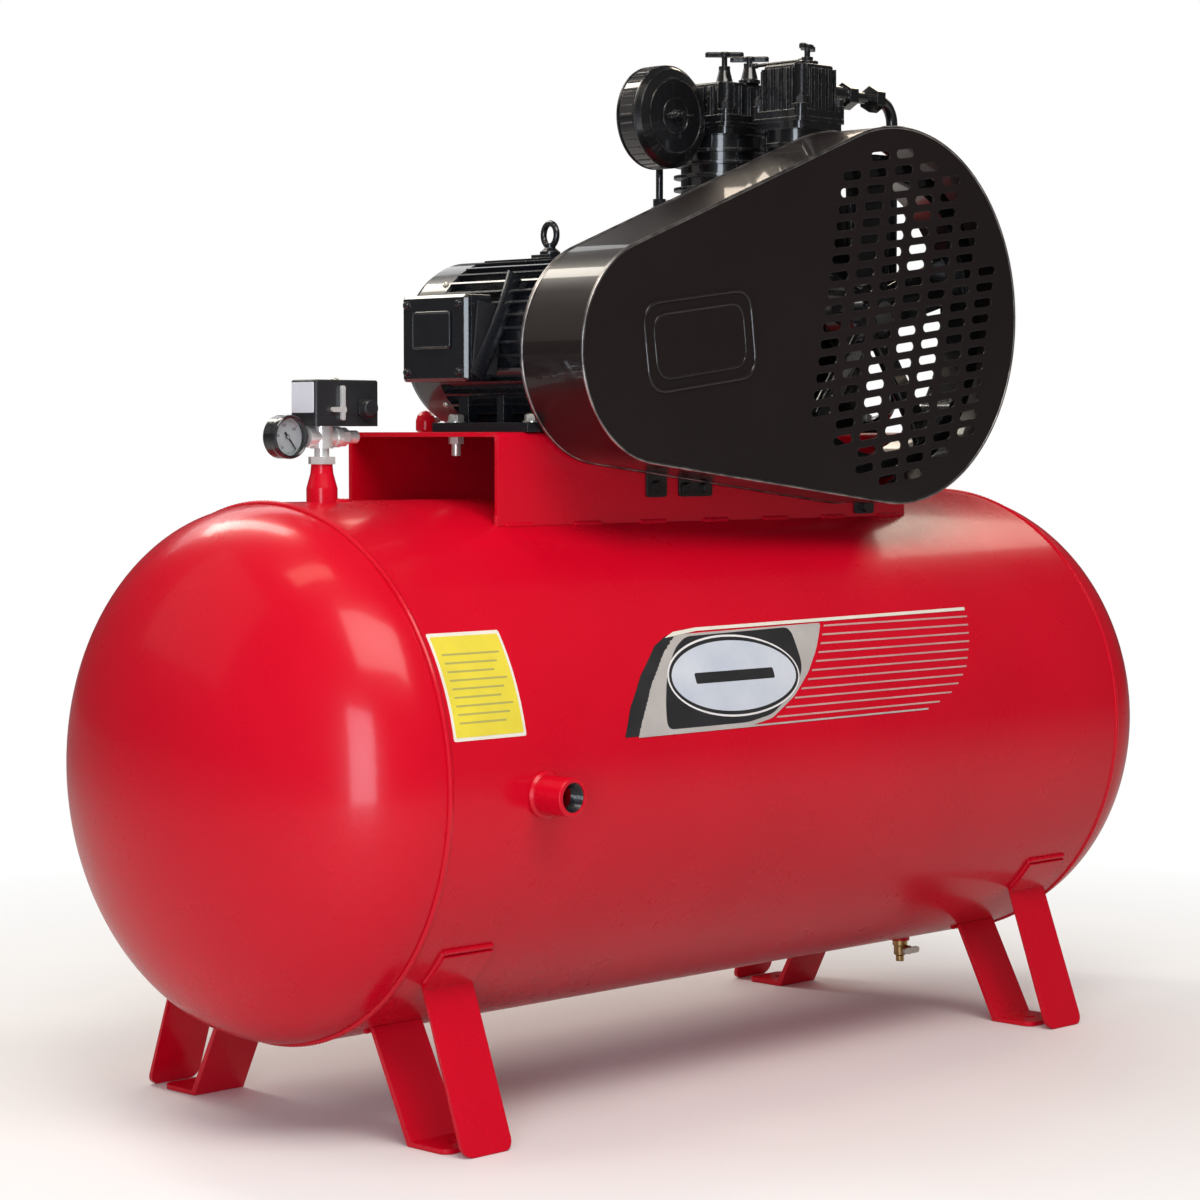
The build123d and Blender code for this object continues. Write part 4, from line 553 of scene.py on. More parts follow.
def rounded(points, radius, steps=6):
    """Rounds the corners of a closed 2D outline."""
    result = []
    count = len(points)
    for i in range(count):
        corner = Vector(points[i])
        before = Vector(points[i - 1]) - corner
        after = Vector(points[(i + 1) % count]) - corner
        reach = min(radius, before.length * 0.45, after.length * 0.45)
        first = corner + before.normalized() * reach
        last = corner + after.normalized() * reach
        for k in range(steps + 1):
            t = k / steps
            result.append(tuple(first * (1 - t) ** 2 + corner * 2 * t * (1 - t) + last * t * t))
    return result


def rectangle(half_u, half_v, radius, steps=6):
    corners = [(-half_u, -half_v), (half_u, -half_v), (half_u, half_v), (-half_u, half_v)]
    return rounded(corners, radius, steps)


def spoke(angle, radius=1.0):
    """Step from a centre at an angle in the X-Z plane."""
    return Vector((radius * cos(angle), 0, radius * sin(angle)))


def hoop(centre, radius, steps):
    """Points of a circle in the X-Z plane."""
    return [Vector(centre) + spoke(tau * i / steps, radius) for i in range(steps)]


# --- Receiver: welds, labels ---
shell_low, shell_high, shell_mid = box("tank_shell")
TANK_R = (shell_high.z - shell_low.z) / 2
TANK_Z = shell_mid.z
BEAD_STEP = 0.0035
BEAD = 0.0036
THIN_BEAD = 0.0030
BACK_SEAM = radians(-118)


def on_tank(x, angle, lift=0.0):
    """Point on the receiver, the angle measured from the top towards the front."""
    radius = TANK_R + lift
    return Vector((x, -radius * sin(angle), TANK_Z + radius * cos(angle)))


def tank_top(y):
    """Height of the receiver's surface above a distance from its middle line."""
    return TANK_Z + sqrt(TANK_R**2 - y**2)


def along(start, end):
    """Points every weld ripple from start to end."""
    start, end = Vector(start), Vector(end)
    steps = max(2, round((end - start).length / BEAD_STEP))
    return [start.lerp(end, i / steps) for i in range(steps + 1)]


def weld_seams():
    """The two head seams, and one long seam on the back."""
    seams = Shape()
    turns = 2 * round(pi * TANK_R / BEAD_STEP)
    for x in (shell_low.x, shell_high.x):
        ring = [on_tank(x, tau * i / turns, -0.0012) for i in range(turns)]
        seams.bead(ring, BEAD, 0.07, closed=True)
    ends = [on_tank(x, BACK_SEAM, -0.001) for x in (shell_low.x, shell_high.x)]
    seams.bead(along(*ends), 0.0034, 0.08)
    seams.make("receiver_seams", "red_paint")


def weld_bungs():
    """Collar welds round the bungs on the tank's top."""
    collars = Shape()
    check = box("check_valve")[2]
    manifold = box("manifold_cross")[2]
    relief_low, _, relief = box("safety_valve")
    risers = (
        (manifold.x + 0.0045, 0.0, 0.019),
        (check.x, 0.0, 0.017),
        (relief_low.x + 0.013, relief.y, 0.012),
    )
    for x, y, radius in risers:
        steps = max(24, round(tau * radius / BEAD_STEP))
        ring = []
        for i in range(steps):
            angle = tau * i / steps
            spot_y = y + radius * sin(angle)
            ring.append((x + radius * cos(angle), spot_y, tank_top(spot_y)))
        collars.bead(ring, THIN_BEAD, closed=True)
    collars.make("bung_welds", "red_paint")


OUTLET_X = -0.490
OUTLET_Z = 0.415
OUTLET_FACE = -0.372
OUTLET_BORE = 0.0171
THREADS = 9
THREAD_PITCH = 0.0023
THREAD_START = 0.0025


def thread_outlet():
    """Dark threads inside the outlet bung."""
    threads = Shape()
    for i in range(THREADS):
        y = OUTLET_FACE + THREAD_START + THREAD_PITCH * i
        threads.tube(hoop((OUTLET_X, y, OUTLET_Z), OUTLET_BORE, 48), 0.0010, closed=True, sides=6)
    threads.make("outlet_threads", "outlet_black")


STRAP = 0.006
TAB_ARC = radians(8.8)
TAB_STEPS = 16
BRACE_ANGLE = radians(157)


def weld_legs():
    """Fillet welds round the leg straps' tabs and under their braces."""
    welds = Shape()
    for name in ("leg_front_left", "leg_front_right", "leg_rear_left", "leg_rear_right"):
        low, high, middle = box(name)
        front = 1 if middle.y < 0 else -1
        tab_top = (high.z - TANK_Z) / (TANK_R + STRAP)
        top = front * (pi / 2 + atan2(-tab_top, sqrt(1 - tab_top**2)))
        for x in (low.x, high.x):
            turns = [top + front * TAB_ARC * i / TAB_STEPS for i in range(TAB_STEPS + 1)]
            welds.bead([on_tank(x, angle, 0.0005) for angle in turns], 0.0032)
        for angle, lift in ((top, 0.001), (front * BRACE_ANGLE, 0.0005)):
            welds.bead(along(on_tank(low.x, angle, lift), on_tank(high.x, angle, lift)), BEAD)
    welds.make("leg_welds", "red_paint")


STITCH = 0.048
STITCH_STEP = 0.118
FIRST_STITCH = 0.012


def weld_platform():
    """Stitch welds along the platform's skirts, and an upright one at each corner."""
    low, high, _ = box("platform")
    welds = Shape()
    for y in (low.y, high.y):
        z = tank_top(y) + 0.001
        x = low.x + FIRST_STITCH
        while x + STITCH < high.x:
            welds.bead(along((x, y, z), (x + STITCH, y, z)), 0.0034, 0.12)
            x += STITCH_STEP
    for x in (low.x + 0.0005, high.x - 0.0005):
        for y in (low.y + 0.003, high.y - 0.003):
            foot = tank_top(y)
            welds.bead(along((x, y, foot - 0.002), (x, y, foot + 0.012)), THIN_BEAD)
    welds.make("platform_welds", "red_paint")


FILM = 0.00025
INK = 0.0001
FILM_ROW = 0.005


def film_grid(outline):
    """Cuts a flat outline into rows low enough to bend: its points and faces."""
    built = bmesh.new()
    built.faces.new([built.verts.new((x, 0, z)) for x, z in outline])
    bottom = min(z for _, z in outline)
    top = max(z for _, z in outline)
    rows = max(2, round((top - bottom) / FILM_ROW))
    for i in range(1, rows):
        parts = built.verts[:] + built.edges[:] + built.faces[:]
        level = bottom + (top - bottom) * i / rows
        bmesh.ops.bisect_plane(built, geom=parts, plane_co=(0, 0, level), plane_no=(0, 0, 1))
    built.verts.index_update()
    grid = [(v.co.x, v.co.z) for v in built.verts]
    faces = [tuple(v.index for v in f.verts) for f in built.faces]
    built.free()
    return grid, faces


def sticker(name, outline, lift, finish, thickness=FILM):
    """A thin printed film on the receiver's front, from an outline drawn in X and Z."""
    grid, faces = film_grid(outline)
    outer = []
    inner = []
    for x, z in grid:
        rise = (z - TANK_Z) / TANK_R
        angle = pi / 2 - atan2(rise, sqrt(1 - rise**2))
        inner.append(on_tank(x, angle, lift))
        outer.append(on_tank(x, angle, lift + thickness))
    count = len(grid)
    edges = {pair for face in faces for pair in zip(face, face[1:] + face[:1])}
    rim = [(a, b) for face in faces for a, b in zip(face, face[1:] + face[:1]) if (b, a) not in edges]
    closing = [tuple(i + count for i in face) for face in faces]
    closing += [tuple(reversed(face)) for face in faces]
    closing += [(b, a, a + count, b + count) for a, b in rim]
    shape = Shape()
    shape.add(inner + outer, closing)
    shape.make(name, finish)


def shifted(outline, middle):
    """Moves an outline that is drawn about zero."""
    return [(middle[0] + u, middle[1] + v) for u, v in outline]


NOTICE_MID = (-0.5715, 0.545)
NOTICE_HALF = (0.0565, 0.060)
NOTICE_EDGE = 0.004
NOTICE_RULES = 9
RULE_PITCH = 0.0095
RULE_TOP = 0.036
RULE_HALF = 0.0011
RULE_INDENT = 0.004


def make_notice():
    """The yellow notice: a border, a field, and plain rules in place of its lines."""
    half_u, half_v = NOTICE_HALF
    border = rectangle(half_u, half_v, 0.003)
    field = rectangle(half_u - NOTICE_EDGE, half_v - NOTICE_EDGE, 0.002)
    sticker("notice_border", shifted(border, NOTICE_MID), 0.0001, "print_cream")
    sticker("notice_field", shifted(field, NOTICE_MID), 0.0003, "print_yellow")
    for i in range(NOTICE_RULES):
        indent = RULE_INDENT * (i % 3)
        rule = rectangle(half_u - 0.012 - indent, RULE_HALF, 0.0005)
        spot = (NOTICE_MID[0] - indent, NOTICE_MID[1] + RULE_TOP - i * RULE_PITCH)
        sticker(f"notice_rule_{i}", shifted(rule, spot), 0.0005, "print_notice_grey", INK)


SLIVER = (
    (-0.3546, 0.4715), (-0.3388, 0.5059), (-0.3098, 0.5420), (-0.2698, 0.5755), (-0.2450, 0.5860),
    (-0.2280, 0.5860), (-0.2600, 0.5650), (-0.2950, 0.5300), (-0.3180, 0.4950), (-0.3310, 0.4715),
)
PANEL = (
    (-0.3320, 0.4715), (-0.3190, 0.4950), (-0.2960, 0.5300), (-0.2610, 0.5650), (-0.2290, 0.5870),
    (0.0470, 0.5900), (0.0213, 0.5595), (-0.0072, 0.5309), (-0.0433, 0.5029), (-0.0904, 0.4784),
    (-0.1300, 0.4715),
)
BLOCK = (
    (-0.2807, 0.4761), (-0.2780, 0.5050), (-0.2672, 0.5350), (-0.2500, 0.5580), (-0.2319, 0.5738),
    (-0.2100, 0.5840), (-0.0154, 0.5872), (-0.0155, 0.5388), (-0.0366, 0.5125), (-0.0895, 0.4833),
    (-0.1357, 0.4761),
)
CREST = (
    (-0.2480, 0.5835), (-0.1869, 0.5896), (0.3482, 0.5940), (0.3500, 0.5980), (-0.1869, 0.5936),
    (-0.2300, 0.5900),
)
FOOT_RULE = ((-0.3310, 0.4700), (0.2171, 0.4700), (0.2171, 0.4722), (-0.3310, 0.4722))
BADGE_MID = (-0.145, 0.5335)
BADGE_HALF = (0.120, 0.0495)
# name, inset, lift, ink, thickness
BADGE_LAYERS = (
    ("decal_badge_rim", 0.0, 0.00065, "white", FILM),
    ("decal_badge_gap", 0.0025, 0.00090, "black", INK),
    ("decal_badge_field", 0.0070, 0.00100, "pale_blue", 0.0002),
)
STRIPES = 11
STRIPE = 0.0022
STRIPE_LEVELS = (0.4780, 0.5850)
STRIPE_STARTS = (
    (0.4750, -0.0909), (0.4982, -0.0483), (0.5213, -0.0146), (0.5450, 0.0120), (0.5875, 0.0494),
)
STRIPE_ENDS = (
    (0.4750, 0.2320), (0.4820, 0.2560), (0.4946, 0.2817), (0.5195, 0.3110), (0.5555, 0.3336),
    (0.5919, 0.3509),
)


def level_between(table, height):
    """Value at a height, read off a table of (height, value) pairs."""
    for (low, first), (high, last) in zip(table, table[1:]):
        if height <= high:
            return first + (last - first) * max(0.0, (height - low) / (high - low))
    return table[-1][1]


def make_decal():
    """The striped decal with an empty oval badge, without any lettering."""
    sticker("decal_sliver", rounded(SLIVER, 0.003), 0.00015, "print_black")
    sticker("decal_panel", rounded(PANEL, 0.006), 0.00015, "print_grey")
    sticker("decal_block", rounded(BLOCK, 0.012), 0.00040, "print_black")
    turns = [tau * i / 64 for i in range(64)]
    for name, inset, lift, ink, thickness in BADGE_LAYERS:
        half_u, half_v = BADGE_HALF[0] - inset, BADGE_HALF[1] - inset
        oval = [(half_u * cos(t), half_v * sin(t)) for t in turns]
        sticker(name, shifted(oval, BADGE_MID), lift, f"print_{ink}", thickness)
    bar = shifted(rectangle(0.072, 0.0065, 0.003), BADGE_MID)
    sticker("decal_badge_bar", bar, 0.00120, "print_black", INK)
    lowest, highest = STRIPE_LEVELS
    for i in range(STRIPES):
        z = lowest + i * (highest - lowest) / (STRIPES - 1)
        start = level_between(STRIPE_STARTS, z) + 0.003
        end = level_between(STRIPE_ENDS, z)
        line = [(start, z), (end, z), (end + 0.001, z + STRIPE), (start + 0.002, z + STRIPE)]
        sticker(f"decal_stripe_{i}", line, 0.00025, "print_pink")
    sticker("decal_crest", CREST, 0.00070, "print_cream")
    sticker("decal_foot_rule", FOOT_RULE, 0.00045, "print_grey")


# --- Belt guard ---
SMALL_END_DROP = 0.013


def guard_ends():
    """Centres and radii of the guard's two round ends, from its box and the shafts inside."""
    low, high, _ = box("guard_band")
    big = box("flywheel")[2]
    small = box("motor_pulley")[2]
    large_radius = high.z - big.z
    small_radius = small.x - low.x
    return (small.x, small.z - SMALL_END_DROP, small_radius), (big.x, big.z, large_radius)


GUARD_ENDS = guard_ends()
ARC_STEPS = 72
RIM_BEAD = 0.0022
BACK_BEAD = 0.0030
EMBLEM = (-0.146, 0.949)
EMBLEM_TILT = radians(7.3)


def guard_path(inset):
    """Points round the guard's outline: two arcs joined by their common tangents."""
    (xa, za, ra), (xb, zb, rb) = GUARD_ENDS
    span = Vector((xb - xa, zb - za))
    heading = atan2(span.y, span.x)
    lean = pi / 2 + atan2(rb - ra, sqrt(span.length_squared - (rb - ra) ** 2))
    path = []
    for x, z, radius, first, last in (
        (xb, zb, rb - inset, heading - lean, heading + lean),
        (xa, za, ra - inset, heading + lean, heading + tau - lean),
    ):
        for i in range(ARC_STEPS + 1):
            angle = first + (last - first) * i / ARC_STEPS
            path.append((x + radius * cos(angle), z + radius * sin(angle)))
    return path


def dress_guard():
    """Rolled rims and the blank embossed badge."""
    front = box("guard_front")[0].y
    back = box("guard_band")[1].y
    rims = Shape()
    rims.tube([(x, front + RIM_BEAD * 0.6, z) for x, z in guard_path(0.0010)], RIM_BEAD, closed=True)
    rims.tube([(x, back - 0.002, z) for x, z in guard_path(0.0012)], BACK_BEAD, closed=True)
    rims.make("guard_rims", "rubbed_rim", slot="guard_black")

    badge = Shape()
    tilt = Matrix.Rotation(EMBLEM_TILT, 2)
    outer = [tuple(tilt @ Vector(p)) for p in rectangle(0.098, 0.055, 0.030, 8)]
    inner = [tuple(tilt @ Vector(p)) for p in rectangle(0.082, 0.040, 0.024, 8)]
    origin = Vector((EMBLEM[0], front + 0.0006, EMBLEM[1]))
    badge.slab(inner, origin, (1, 0, 0), (0, 0, 1), 0.0016)
    for ring, radius in ((outer, 0.0026), (inner, 0.0020)):
        badge.tube([(origin.x + u, front, origin.z + v) for u, v in ring], radius, closed=True)
    badge.make("guard_badge", "guard_black", bevel=0.0004)


# --- Motor ---
def screw_head(shape, place, out, radius, height):
    """A low domed screw head with a round recess in its middle."""
    profile = [
        (radius, 0), (radius, height * 0.45), (radius * 0.8, height * 0.85), (radius * 0.35, height),
        (radius * 0.3, height * 0.55), (0, height * 0.5),
    ]
    shape.lathe(place, out, profile, steps=20)


def hexagon(shape, place, out, across_flats, height):
    """A hexagon head with chamfered corners."""
    corner = across_flats / sqrt(3)
    profile = [(0, 0), (corner, 0), (corner, height * 0.82), (corner * 0.86, height), (0, height)]
    shape.lathe(place, out, profile, steps=6)


CONDUIT_SCREW_INSET = 0.012


def dress_conduit_cover():
    """A blank plate in a raised frame, and the cover's four screws."""
    low, high, middle = box("conduit_cover")
    face = Vector((low.x + 0.0002, 0.0, middle.z + 0.010))
    plate = Shape()
    plate.slab(rectangle(0.0325, 0.0205, 0.003), face, (0, -1, 0), (0, 0, 1), 0.0012)
    edge = [(face.x - 0.0004, face.y - u, face.z + v) for u, v in rectangle(0.034, 0.022, 0.004)]
    plate.tube(edge, 0.0017, closed=True)
    plate.make("conduit_plate", "motor_black", bevel=0.0003)

    screws = Shape()
    for y in (low.y + CONDUIT_SCREW_INSET, high.y - CONDUIT_SCREW_INSET):
        for z in (low.z + CONDUIT_SCREW_INSET, high.z - CONDUIT_SCREW_INSET):
            screw_head(screws, (low.x - 0.0001, y, z), (-1, 0, 0), 0.0048, 0.0034)
    screws.make("conduit_screws", "motor_black")


BRACKET_STEPS = 16
BRACKET_HALF = 0.012
BRACKET_BOW = 0.006
# Across the strap as a share of its half width, and outwards.
BRACKET_PROFILE = ((-1, 0), (-0.6, 0.003), (0.6, 0.003), (1, 0), (0.5, -0.002), (-0.5, -0.002))


def make_conduit_strap():
    """The slanted strap beside the conduit box, bowed a little outwards."""
    low, high, _ = box("conduit_box")
    start = Vector((low.x + 0.004, low.y - 0.004, low.z + 0.006))
    end = Vector((high.x + 0.030, low.y - 0.010, high.z + 0.026))
    outward = Vector((0, -1, 0))
    across = (end - start).normalized().cross(outward).normalized()
    corners = len(BRACKET_PROFILE)
    vertices = []
    for i in range(BRACKET_STEPS + 1):
        t = i / BRACKET_STEPS
        spot = start.lerp(end, t) + outward * BRACKET_BOW * sin(pi * t)
        vertices += [spot + across * (BRACKET_HALF * u) + outward * v for u, v in BRACKET_PROFILE]
    faces = []
    for i in range(BRACKET_STEPS):
        for k in range(corners):
            a, b = i * corners + k, i * corners + (k + 1) % corners
            faces.append((a, b, b + corners, a + corners))
    faces.append(tuple(range(corners)))
    faces.append(tuple(range(BRACKET_STEPS * corners, len(vertices))))
    piece("conduit_strap", vertices, faces, "motor_black")


SIDE_PANEL = ((-0.032, -0.046), (0.010, -0.046), (0.020, 0.040), (-0.022, 0.046))


def make_side_panel():
    """The plain dark panel that closes the conduit box towards the guard."""
    low, high, middle = box("conduit_box")
    origin = (high.x - 0.004, low.y - 0.0006, middle.z)
    panel = Shape()
    panel.slab(SIDE_PANEL, origin, (1, 0, 0), (0, 0, 1), 0.003)
    panel.make("conduit_side_panel", "black_plastic", bevel=0.0008)


def dress_fan_cover():
    """Two pressed rings on the fan cover's back, and four screws round its side."""
    low, high, middle = box("fan_cover")
    centre = Vector((middle.x, high.y, middle.z))
    rings = Shape()
    for radius in (0.094, 0.020):
        rings.tube(hoop(centre - Vector((0, 0.0004, 0)), radius, 64), 0.0016, closed=True)
    rings.make("fan_cover_rings", "motor_black")
    screws = Shape()
    for i in range(4):
        out = spoke(pi / 4 + i * pi / 2)
        spot = centre + out * ((high.x - low.x) / 2 - 0.0002)
        spot.y = low.y + 0.010
        screw_head(screws, spot, out, 0.0042, 0.003)
    screws.make("fan_cover_screws", "zinc_steel")


BELL_RIBS = 8
BELL_BOLTS = 4


def dress_front_bell():
    """Ribs and through-bolt heads on the front end bell."""
    low, _, middle = box("motor_end_bells")
    ribs = Shape()
    for i in range(BELL_RIBS):
        out = spoke(tau * (i + 0.5) / BELL_RIBS)
        start = Vector((middle.x, low.y + 0.0035, middle.z)) + out * 0.042
        end = Vector((middle.x, low.y + 0.019, middle.z)) + out * 0.099
        ribs.tube([start.lerp(end, t / 6) for t in range(7)], 0.0036, sides=8)
    for i in range(BELL_BOLTS):
        out = spoke(tau * (i + 0.5) / BELL_BOLTS)
        spot = Vector((middle.x, low.y + 0.016, middle.z)) + out * 0.088
        hexagon(ribs, spot, (0, -1, 0), 0.010, 0.006)
    ribs.make("front_bell_ribs", "motor_black")


NAMEPLATE_TILT = radians(38)
NAMEPLATE_R = 0.1105
NAMEPLATE_THICK = 0.0012


def make_nameplate():
    """A blank riveted plate on the motor's upper side."""
    middle = box("motor_end_bells")[2]
    out = spoke(NAMEPLATE_TILT)
    up = Vector((-out.z, 0, out.x))
    lengthwise = Vector((0, 1, 0))
    spot = Vector((middle.x, 0, middle.z)) + out * NAMEPLATE_R
    plate = Shape()
    plate.slab(rectangle(0.036, 0.020, 0.003), spot, lengthwise, up, NAMEPLATE_THICK)
    plate.make("motor_nameplate", "aluminium_alloy", bevel=0.0003)
    rivets = Shape()
    for u in (-0.032, 0.032):
        for v in (-0.016, 0.016):
            place = spot + lengthwise * u + up * v + out * NAMEPLATE_THICK
            screw_head(rivets, place, out, 0.0018, 0.0012)
    rivets.make("nameplate_rivets", "machined_steel")


# --- Pump ---
FILTER_RIBS = 36
WING_PATH = ((0.004, -0.005), (0.010, -0.009), (0.016, -0.010))


def dress_filter():
    """Pressed rings and grip ribs round the air filter, and its wing nut."""
    low, high, middle = box("air_filter")
    radius = (high.z - low.z) / 2
    centre = Vector((middle.x, low.y, middle.z))
    trim = Shape()
    for r, y in ((radius - 0.0005, 0.018), (radius - 0.0005, 0.050), (0.050, 0.0065), (0.024, 0.0063)):
        trim.tube(hoop(centre + Vector((0, y, 0)), r, 72), 0.0015, closed=True, sides=8)
    for i in range(FILTER_RIBS):
        start = centre + spoke(tau * i / FILTER_RIBS, radius - 0.0004) + Vector((0, 0.0225, 0))
        trim.tube([start, start + Vector((0, 0.022, 0))], 0.0016, sides=6)
    trim.make("filter_trim", "pump_black")
    wing = Shape()
    hub = centre - Vector((0, 0.001, 0))
    wing.lathe(hub, (0, -1, 0), [(0, 0), (0.007, 0), (0.0055, 0.009), (0, 0.009)], steps=24)
    for side in (-1, 1):
        wing.tube([hub + Vector((side * x, y, 0)) for x, y in WING_PATH], 0.0030)
    wing.make("filter_wing_nut", "pump_black")


CASE_HALF = 0.090


def dress_crankcase():
    """Bolt heads and the covers' raised outlines on both sides of the crankcase."""
    low, high, middle = box("crankcase")
    crank_x = box("crankshaft")[2].x
    bolts = Shape()
    for z in (low.z + 0.045, high.z - 0.030):
        for y in (low.y + 0.030, middle.y, high.y - 0.030):
            for side in (-1, 1):
                spot = (crank_x + side * (CASE_HALF + 0.0002), y, z)
                hexagon(bolts, spot, (side, 0, 0), 0.011, 0.005)
    bolts.make("case_side_bolts", "pump_black")
    lines = Shape()
    outline = rectangle(0.112, 0.122, 0.018)
    for x in (crank_x - CASE_HALF, crank_x + CASE_HALF):
        path = [(x, middle.y + u, middle.z + 0.008 + v) for u, v in outline]
        lines.tube(path, 0.0022, closed=True, sides=8)
    lines.make("case_cover_lines", "pump_black")


SIGHT_GLASS = (0.036, 0.905)
OIL_CAP = (-0.028, 1.050)
CAP_RIBS = 16


def dress_oil_fittings():
    """The sight glass's lens, and the grip ribs of the oil filler's cap."""
    lens_x = box("crankshaft")[2].x - CASE_HALF - 0.0086
    lens = Shape()
    dome = [(0, 0), (0.0105, 0), (0.009, 0.0015), (0, 0.0022)]
    lens.lathe((lens_x, *SIGHT_GLASS), (-1, 0, 0), dome, steps=32)
    lens.make("sight_glass", "clear_lens")
    cap = Shape()
    hub = Vector((box("oil_fittings")[0].x + 0.0015, *OIL_CAP))
    for i in range(CAP_RIBS):
        angle = tau * i / CAP_RIBS
        spot = hub + Vector((0, cos(angle), sin(angle))) * 0.0152
        cap.tube([spot, spot + Vector((0.009, 0, 0))], 0.0014, sides=6)
    cap.make("oil_cap_ribs", "brass_fittings")


HEAD_STUDS = {"head_first": 0.052, "head_second": 0.038}
STUD_RISE = 0.027
WASHER = [(0, 0), (0.0062, 0), (0.0052, 0.0012), (0.0035, 0.0016), (0, 0.0016)]
STUD_END = [(0, 0), (0.0034, 0), (0.003, 0.0035), (0, 0.004)]


def dress_heads():
    """A washer face and a stud end on each corner of the heads."""
    crank_x = box("crankshaft")[2].x
    ends = Shape()
    for name, reach in HEAD_STUDS.items():
        low, _, middle = box(name)
        for dx in (-reach, reach):
            for dy in (-reach, reach):
                spot = Vector((crank_x + dx, middle.y + dy, low.z + STUD_RISE))
                ends.lathe(spot, (0, 0, 1), WASHER, steps=24)
                ends.lathe(spot + Vector((0, 0, 0.0016)), (0, 0, 1), STUD_END, steps=16)
    ends.make("head_bolt_ends", "pump_black")


# --- Fittings, gauge, switch ---
GAUGE_START = 310.0
GAUGE_SWEEP = 270.0
TICKS = 40
TICKS_TO_MAJOR = 5
TICKS_TO_NUMBER = 10
LIMIT_FROM = 0.8
NUMBER_SIZE = 0.0046
NUMBER_THICK = 0.00005
# Outwards from the dial's edge, and towards the front.
BEZEL = (
    (-0.0006, -0.0016), (-0.0008, 0.0006), (0.0010, 0.0018), (0.0024, 0.0008), (0.0032, -0.003),
    (0.0027, -0.0075), (0.0023, -0.003), (0.0016, -0.0006),
)


def gauge_angle(tick):
    """Angle of a scale mark; the scale runs clockwise from the lower right."""
    return radians(GAUGE_START - GAUGE_SWEEP * tick / TICKS)


def number_piece(name, text, spot, finish):
    """A flat number that faces the front."""
    curve = bpy.data.curves.new(name, "FONT")
    curve.body = text
    curve.size = NUMBER_SIZE
    curve.align_x = "CENTER"
    curve.align_y = "CENTER"
    curve.extrude = NUMBER_THICK
    holder = bpy.data.objects.new("number_source", curve)
    SCENE.collection.objects.link(holder)
    bpy.context.view_layer.update()
    mesh = bpy.data.meshes.new_from_object(holder)
    bpy.data.objects.remove(holder)
    mesh.transform(Matrix.Translation(spot) @ Matrix.Rotation(pi / 2, 4, "X"))
    mesh.materials.clear()
    mesh.materials.append(LOOKS[finish])
    number = bpy.data.objects.new(name, mesh)
    SCENE.collection.objects.link(number)
    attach(number, "root")


def dress_gauge():
    """Bezel, scale marks in black and red, plain numbers and the needle's cap."""
    low, high, middle = box("gauge_dial")
    centre = Vector((middle.x, low.y, middle.z))
    radius = (high.x - low.x) / 2
    bezel = Shape()
    rim = Vector((centre.x, box("gauge_case")[0].y, centre.z))
    bezel.lathe(rim, (0, -1, 0), [(radius + r, y) for r, y in BEZEL], steps=64)
    bezel.make("gauge_bezel", "motor_black")
    marks = Shape()
    limit = Shape()
    for i in range(TICKS + 1):
        out = spoke(gauge_angle(i))
        side = Vector((-out.z, 0, out.x))
        major = i % TICKS_TO_MAJOR == 0
        length = 0.0032 if major else 0.0018
        half = 0.00035 if major else 0.0002
        origin = centre + out * (radius - 0.0022 - length)
        target = limit if i > TICKS * LIMIT_FROM else marks
        line = [(-half, 0), (half, 0), (half, length), (-half, length)]
        target.slab(line, origin, -side, out, 0.00012)
    marks.make("gauge_marks", "print_black")
    limit.make("gauge_limit_marks", "print_notice_red")
    for i in range(0, TICKS + 1, TICKS_TO_NUMBER):
        spot = centre + spoke(gauge_angle(i), radius - 0.0088) - Vector((0, 0.0001, 0))
        number_piece(f"gauge_number_{i}", str(i * 5), spot, "print_black")
    cap = Shape()
    hub = (centre.x, box("gauge_needle")[0].y - 0.0001, centre.z)
    cap.lathe(hub, (0, -1, 0), [(0, 0), (0.0026, 0), (0.0020, 0.0012), (0, 0.0016)], steps=24)
    cap.make("needle_cap", "chrome_fittings", body="needle")


def dress_switch():
    """Pale blank plate, cover seam and screw."""
    low, high, middle = box("switch_cover")
    plate = Shape()
    origin = (low.x - 0.0001, middle.y, middle.z - 0.0005)
    plate.slab(rectangle(0.0205, 0.0185, 0.002), origin, (0, -1, 0), (0, 0, 1), 0.0009)
    plate.make("switch_plate", "print_plate_grey", bevel=0.0003)
    seam = Shape()
    outline = rectangle((high.x - low.x) / 2 - 0.0001, (high.y - low.y) / 2 - 0.0001, 0.0045)
    seam.tube([(middle.x + u, middle.y + v, low.z) for u, v in outline], 0.0005, closed=True, sides=8)
    seam.make("switch_seam", "black_plastic")
    screw = Shape()
    screw_head(screw, (middle.x, middle.y, high.z - 0.0001), (0, 0, 1), 0.0052, 0.0028)
    screw.make("switch_screw", "zinc_steel")


GLAND_RINGS = 3
GLAND_RING_R = 0.0108
GLAND_PITCH = 0.0018
PULL_RING_R = 0.008


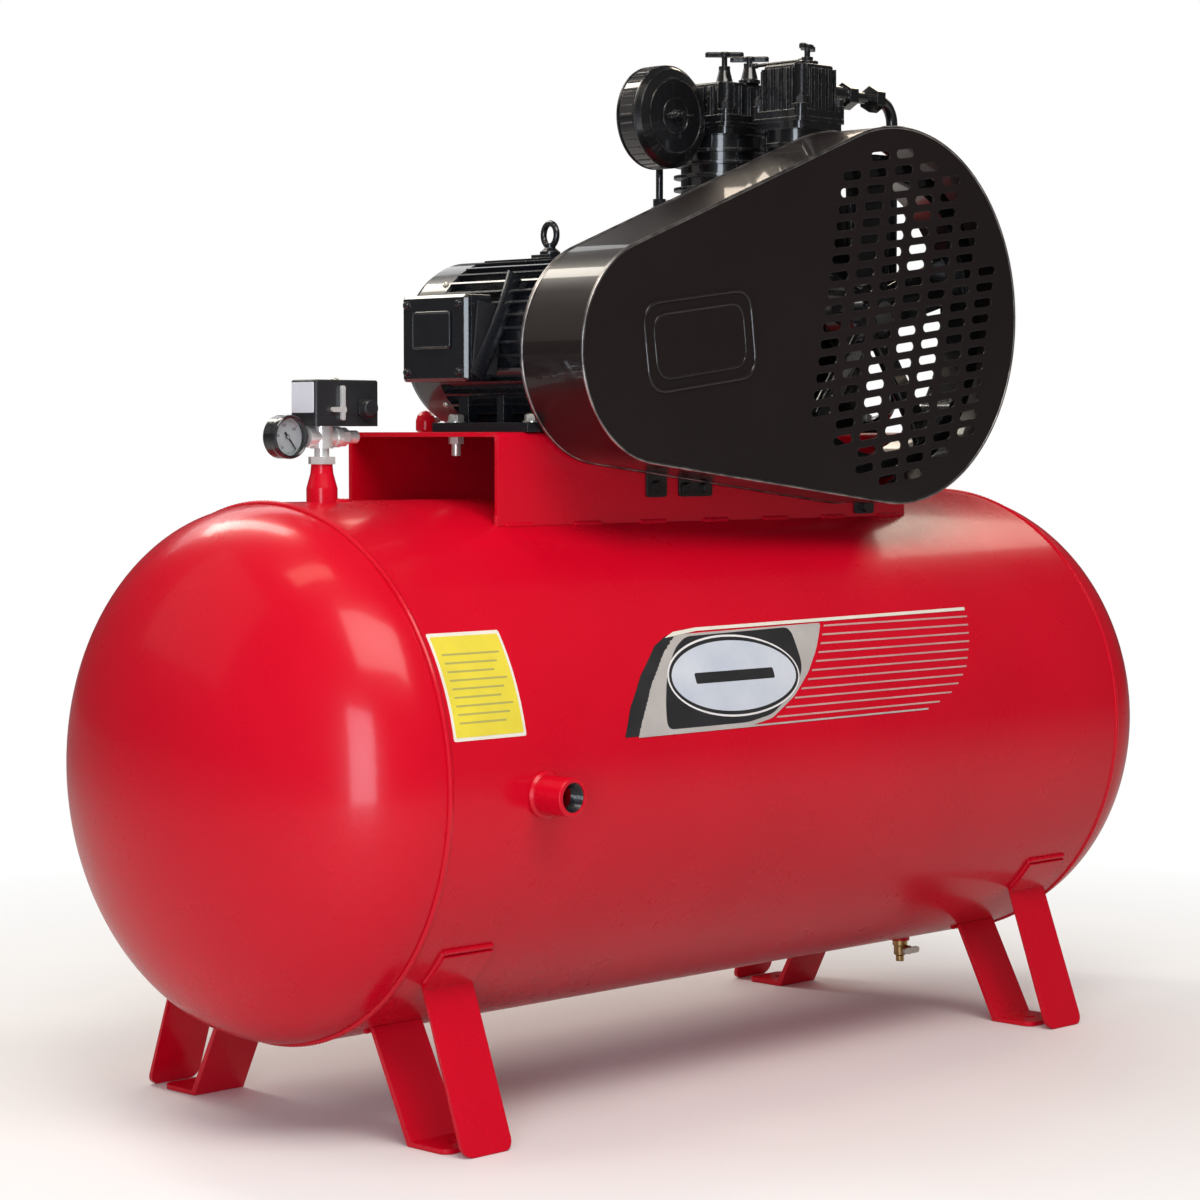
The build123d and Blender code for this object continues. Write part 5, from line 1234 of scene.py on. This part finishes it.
def dress_gland():
    """Thread rings on the cable gland."""
    low, _, middle = box("cable_gland")
    rings = Shape()
    for k in range(GLAND_RINGS):
        spot = (middle.x, low.y + 0.0025 + GLAND_PITCH * k, middle.z)
        rings.tube(hoop(spot, GLAND_RING_R, 32), 0.0006, closed=True, sides=6)
    rings.make("gland_rings", "black_plastic")


def make_pull_ring():
    """The wire ring on the end of the safety valve's lever."""
    _, high, middle = box("safety_lever")
    hub = Vector((high.x, middle.y, middle.z - 0.006))
    pull = Shape()
    pull.tube(hoop(hub, PULL_RING_R, 24), 0.0009, closed=True, sides=8)
    pull.make("relief_pull_ring", "zinc_steel", body="relief_arm")


BOLT_RISE = 0.0095
BOLT_FACE = [(0, -0.0002), (0.0086, -0.0002), (0.0078, 0.0010), (0.0060, 0.0014), (0, 0.0014)]
# node that gives X, foot thickness, reach in X, places in Y
BASE_BOLTS = (
    ("motor_rotor", 0.012, 0.095, (-0.118, 0.022)),
    ("crankshaft", 0.015, 0.105, (-0.100, 0.116)),
)


def dress_fasteners():
    """Bright faces on the motor's and the pump's base bolts."""
    heads = Shape()
    deck = box("platform")[1].z
    for name, foot, reach, rows in BASE_BOLTS:
        middle = box(name)[2].x
        for dx in (-reach, reach):
            for y in rows:
                spot = (middle + dx, y, deck + foot + BOLT_RISE)
                heads.lathe(spot, (0, 0, 1), BOLT_FACE, steps=32)
    heads.make("base_bolt_faces", "zinc_steel")


# --- Build the scene ---
make_camera()
make_finishes()
for ink_row in INKS:
    ink(*ink_row)
bolts()
LOOKS["outlet_black"] = LOOKS["motor_black"]
dress_nodes()
make_floor()
make_world()
for light_row in LIGHTS:
    soft_light(*light_row)
for dress in (
    weld_seams, weld_bungs, thread_outlet, weld_legs, weld_platform, make_notice, make_decal, dress_guard,
    dress_conduit_cover, make_conduit_strap, make_side_panel, dress_fan_cover, dress_front_bell,
    make_nameplate, dress_filter, dress_crankcase, dress_oil_fittings, dress_heads, dress_gauge,
    dress_switch, dress_gland, make_pull_ring, dress_fasteners,
):
    dress()

SCENE.view_settings.view_transform = "Standard"
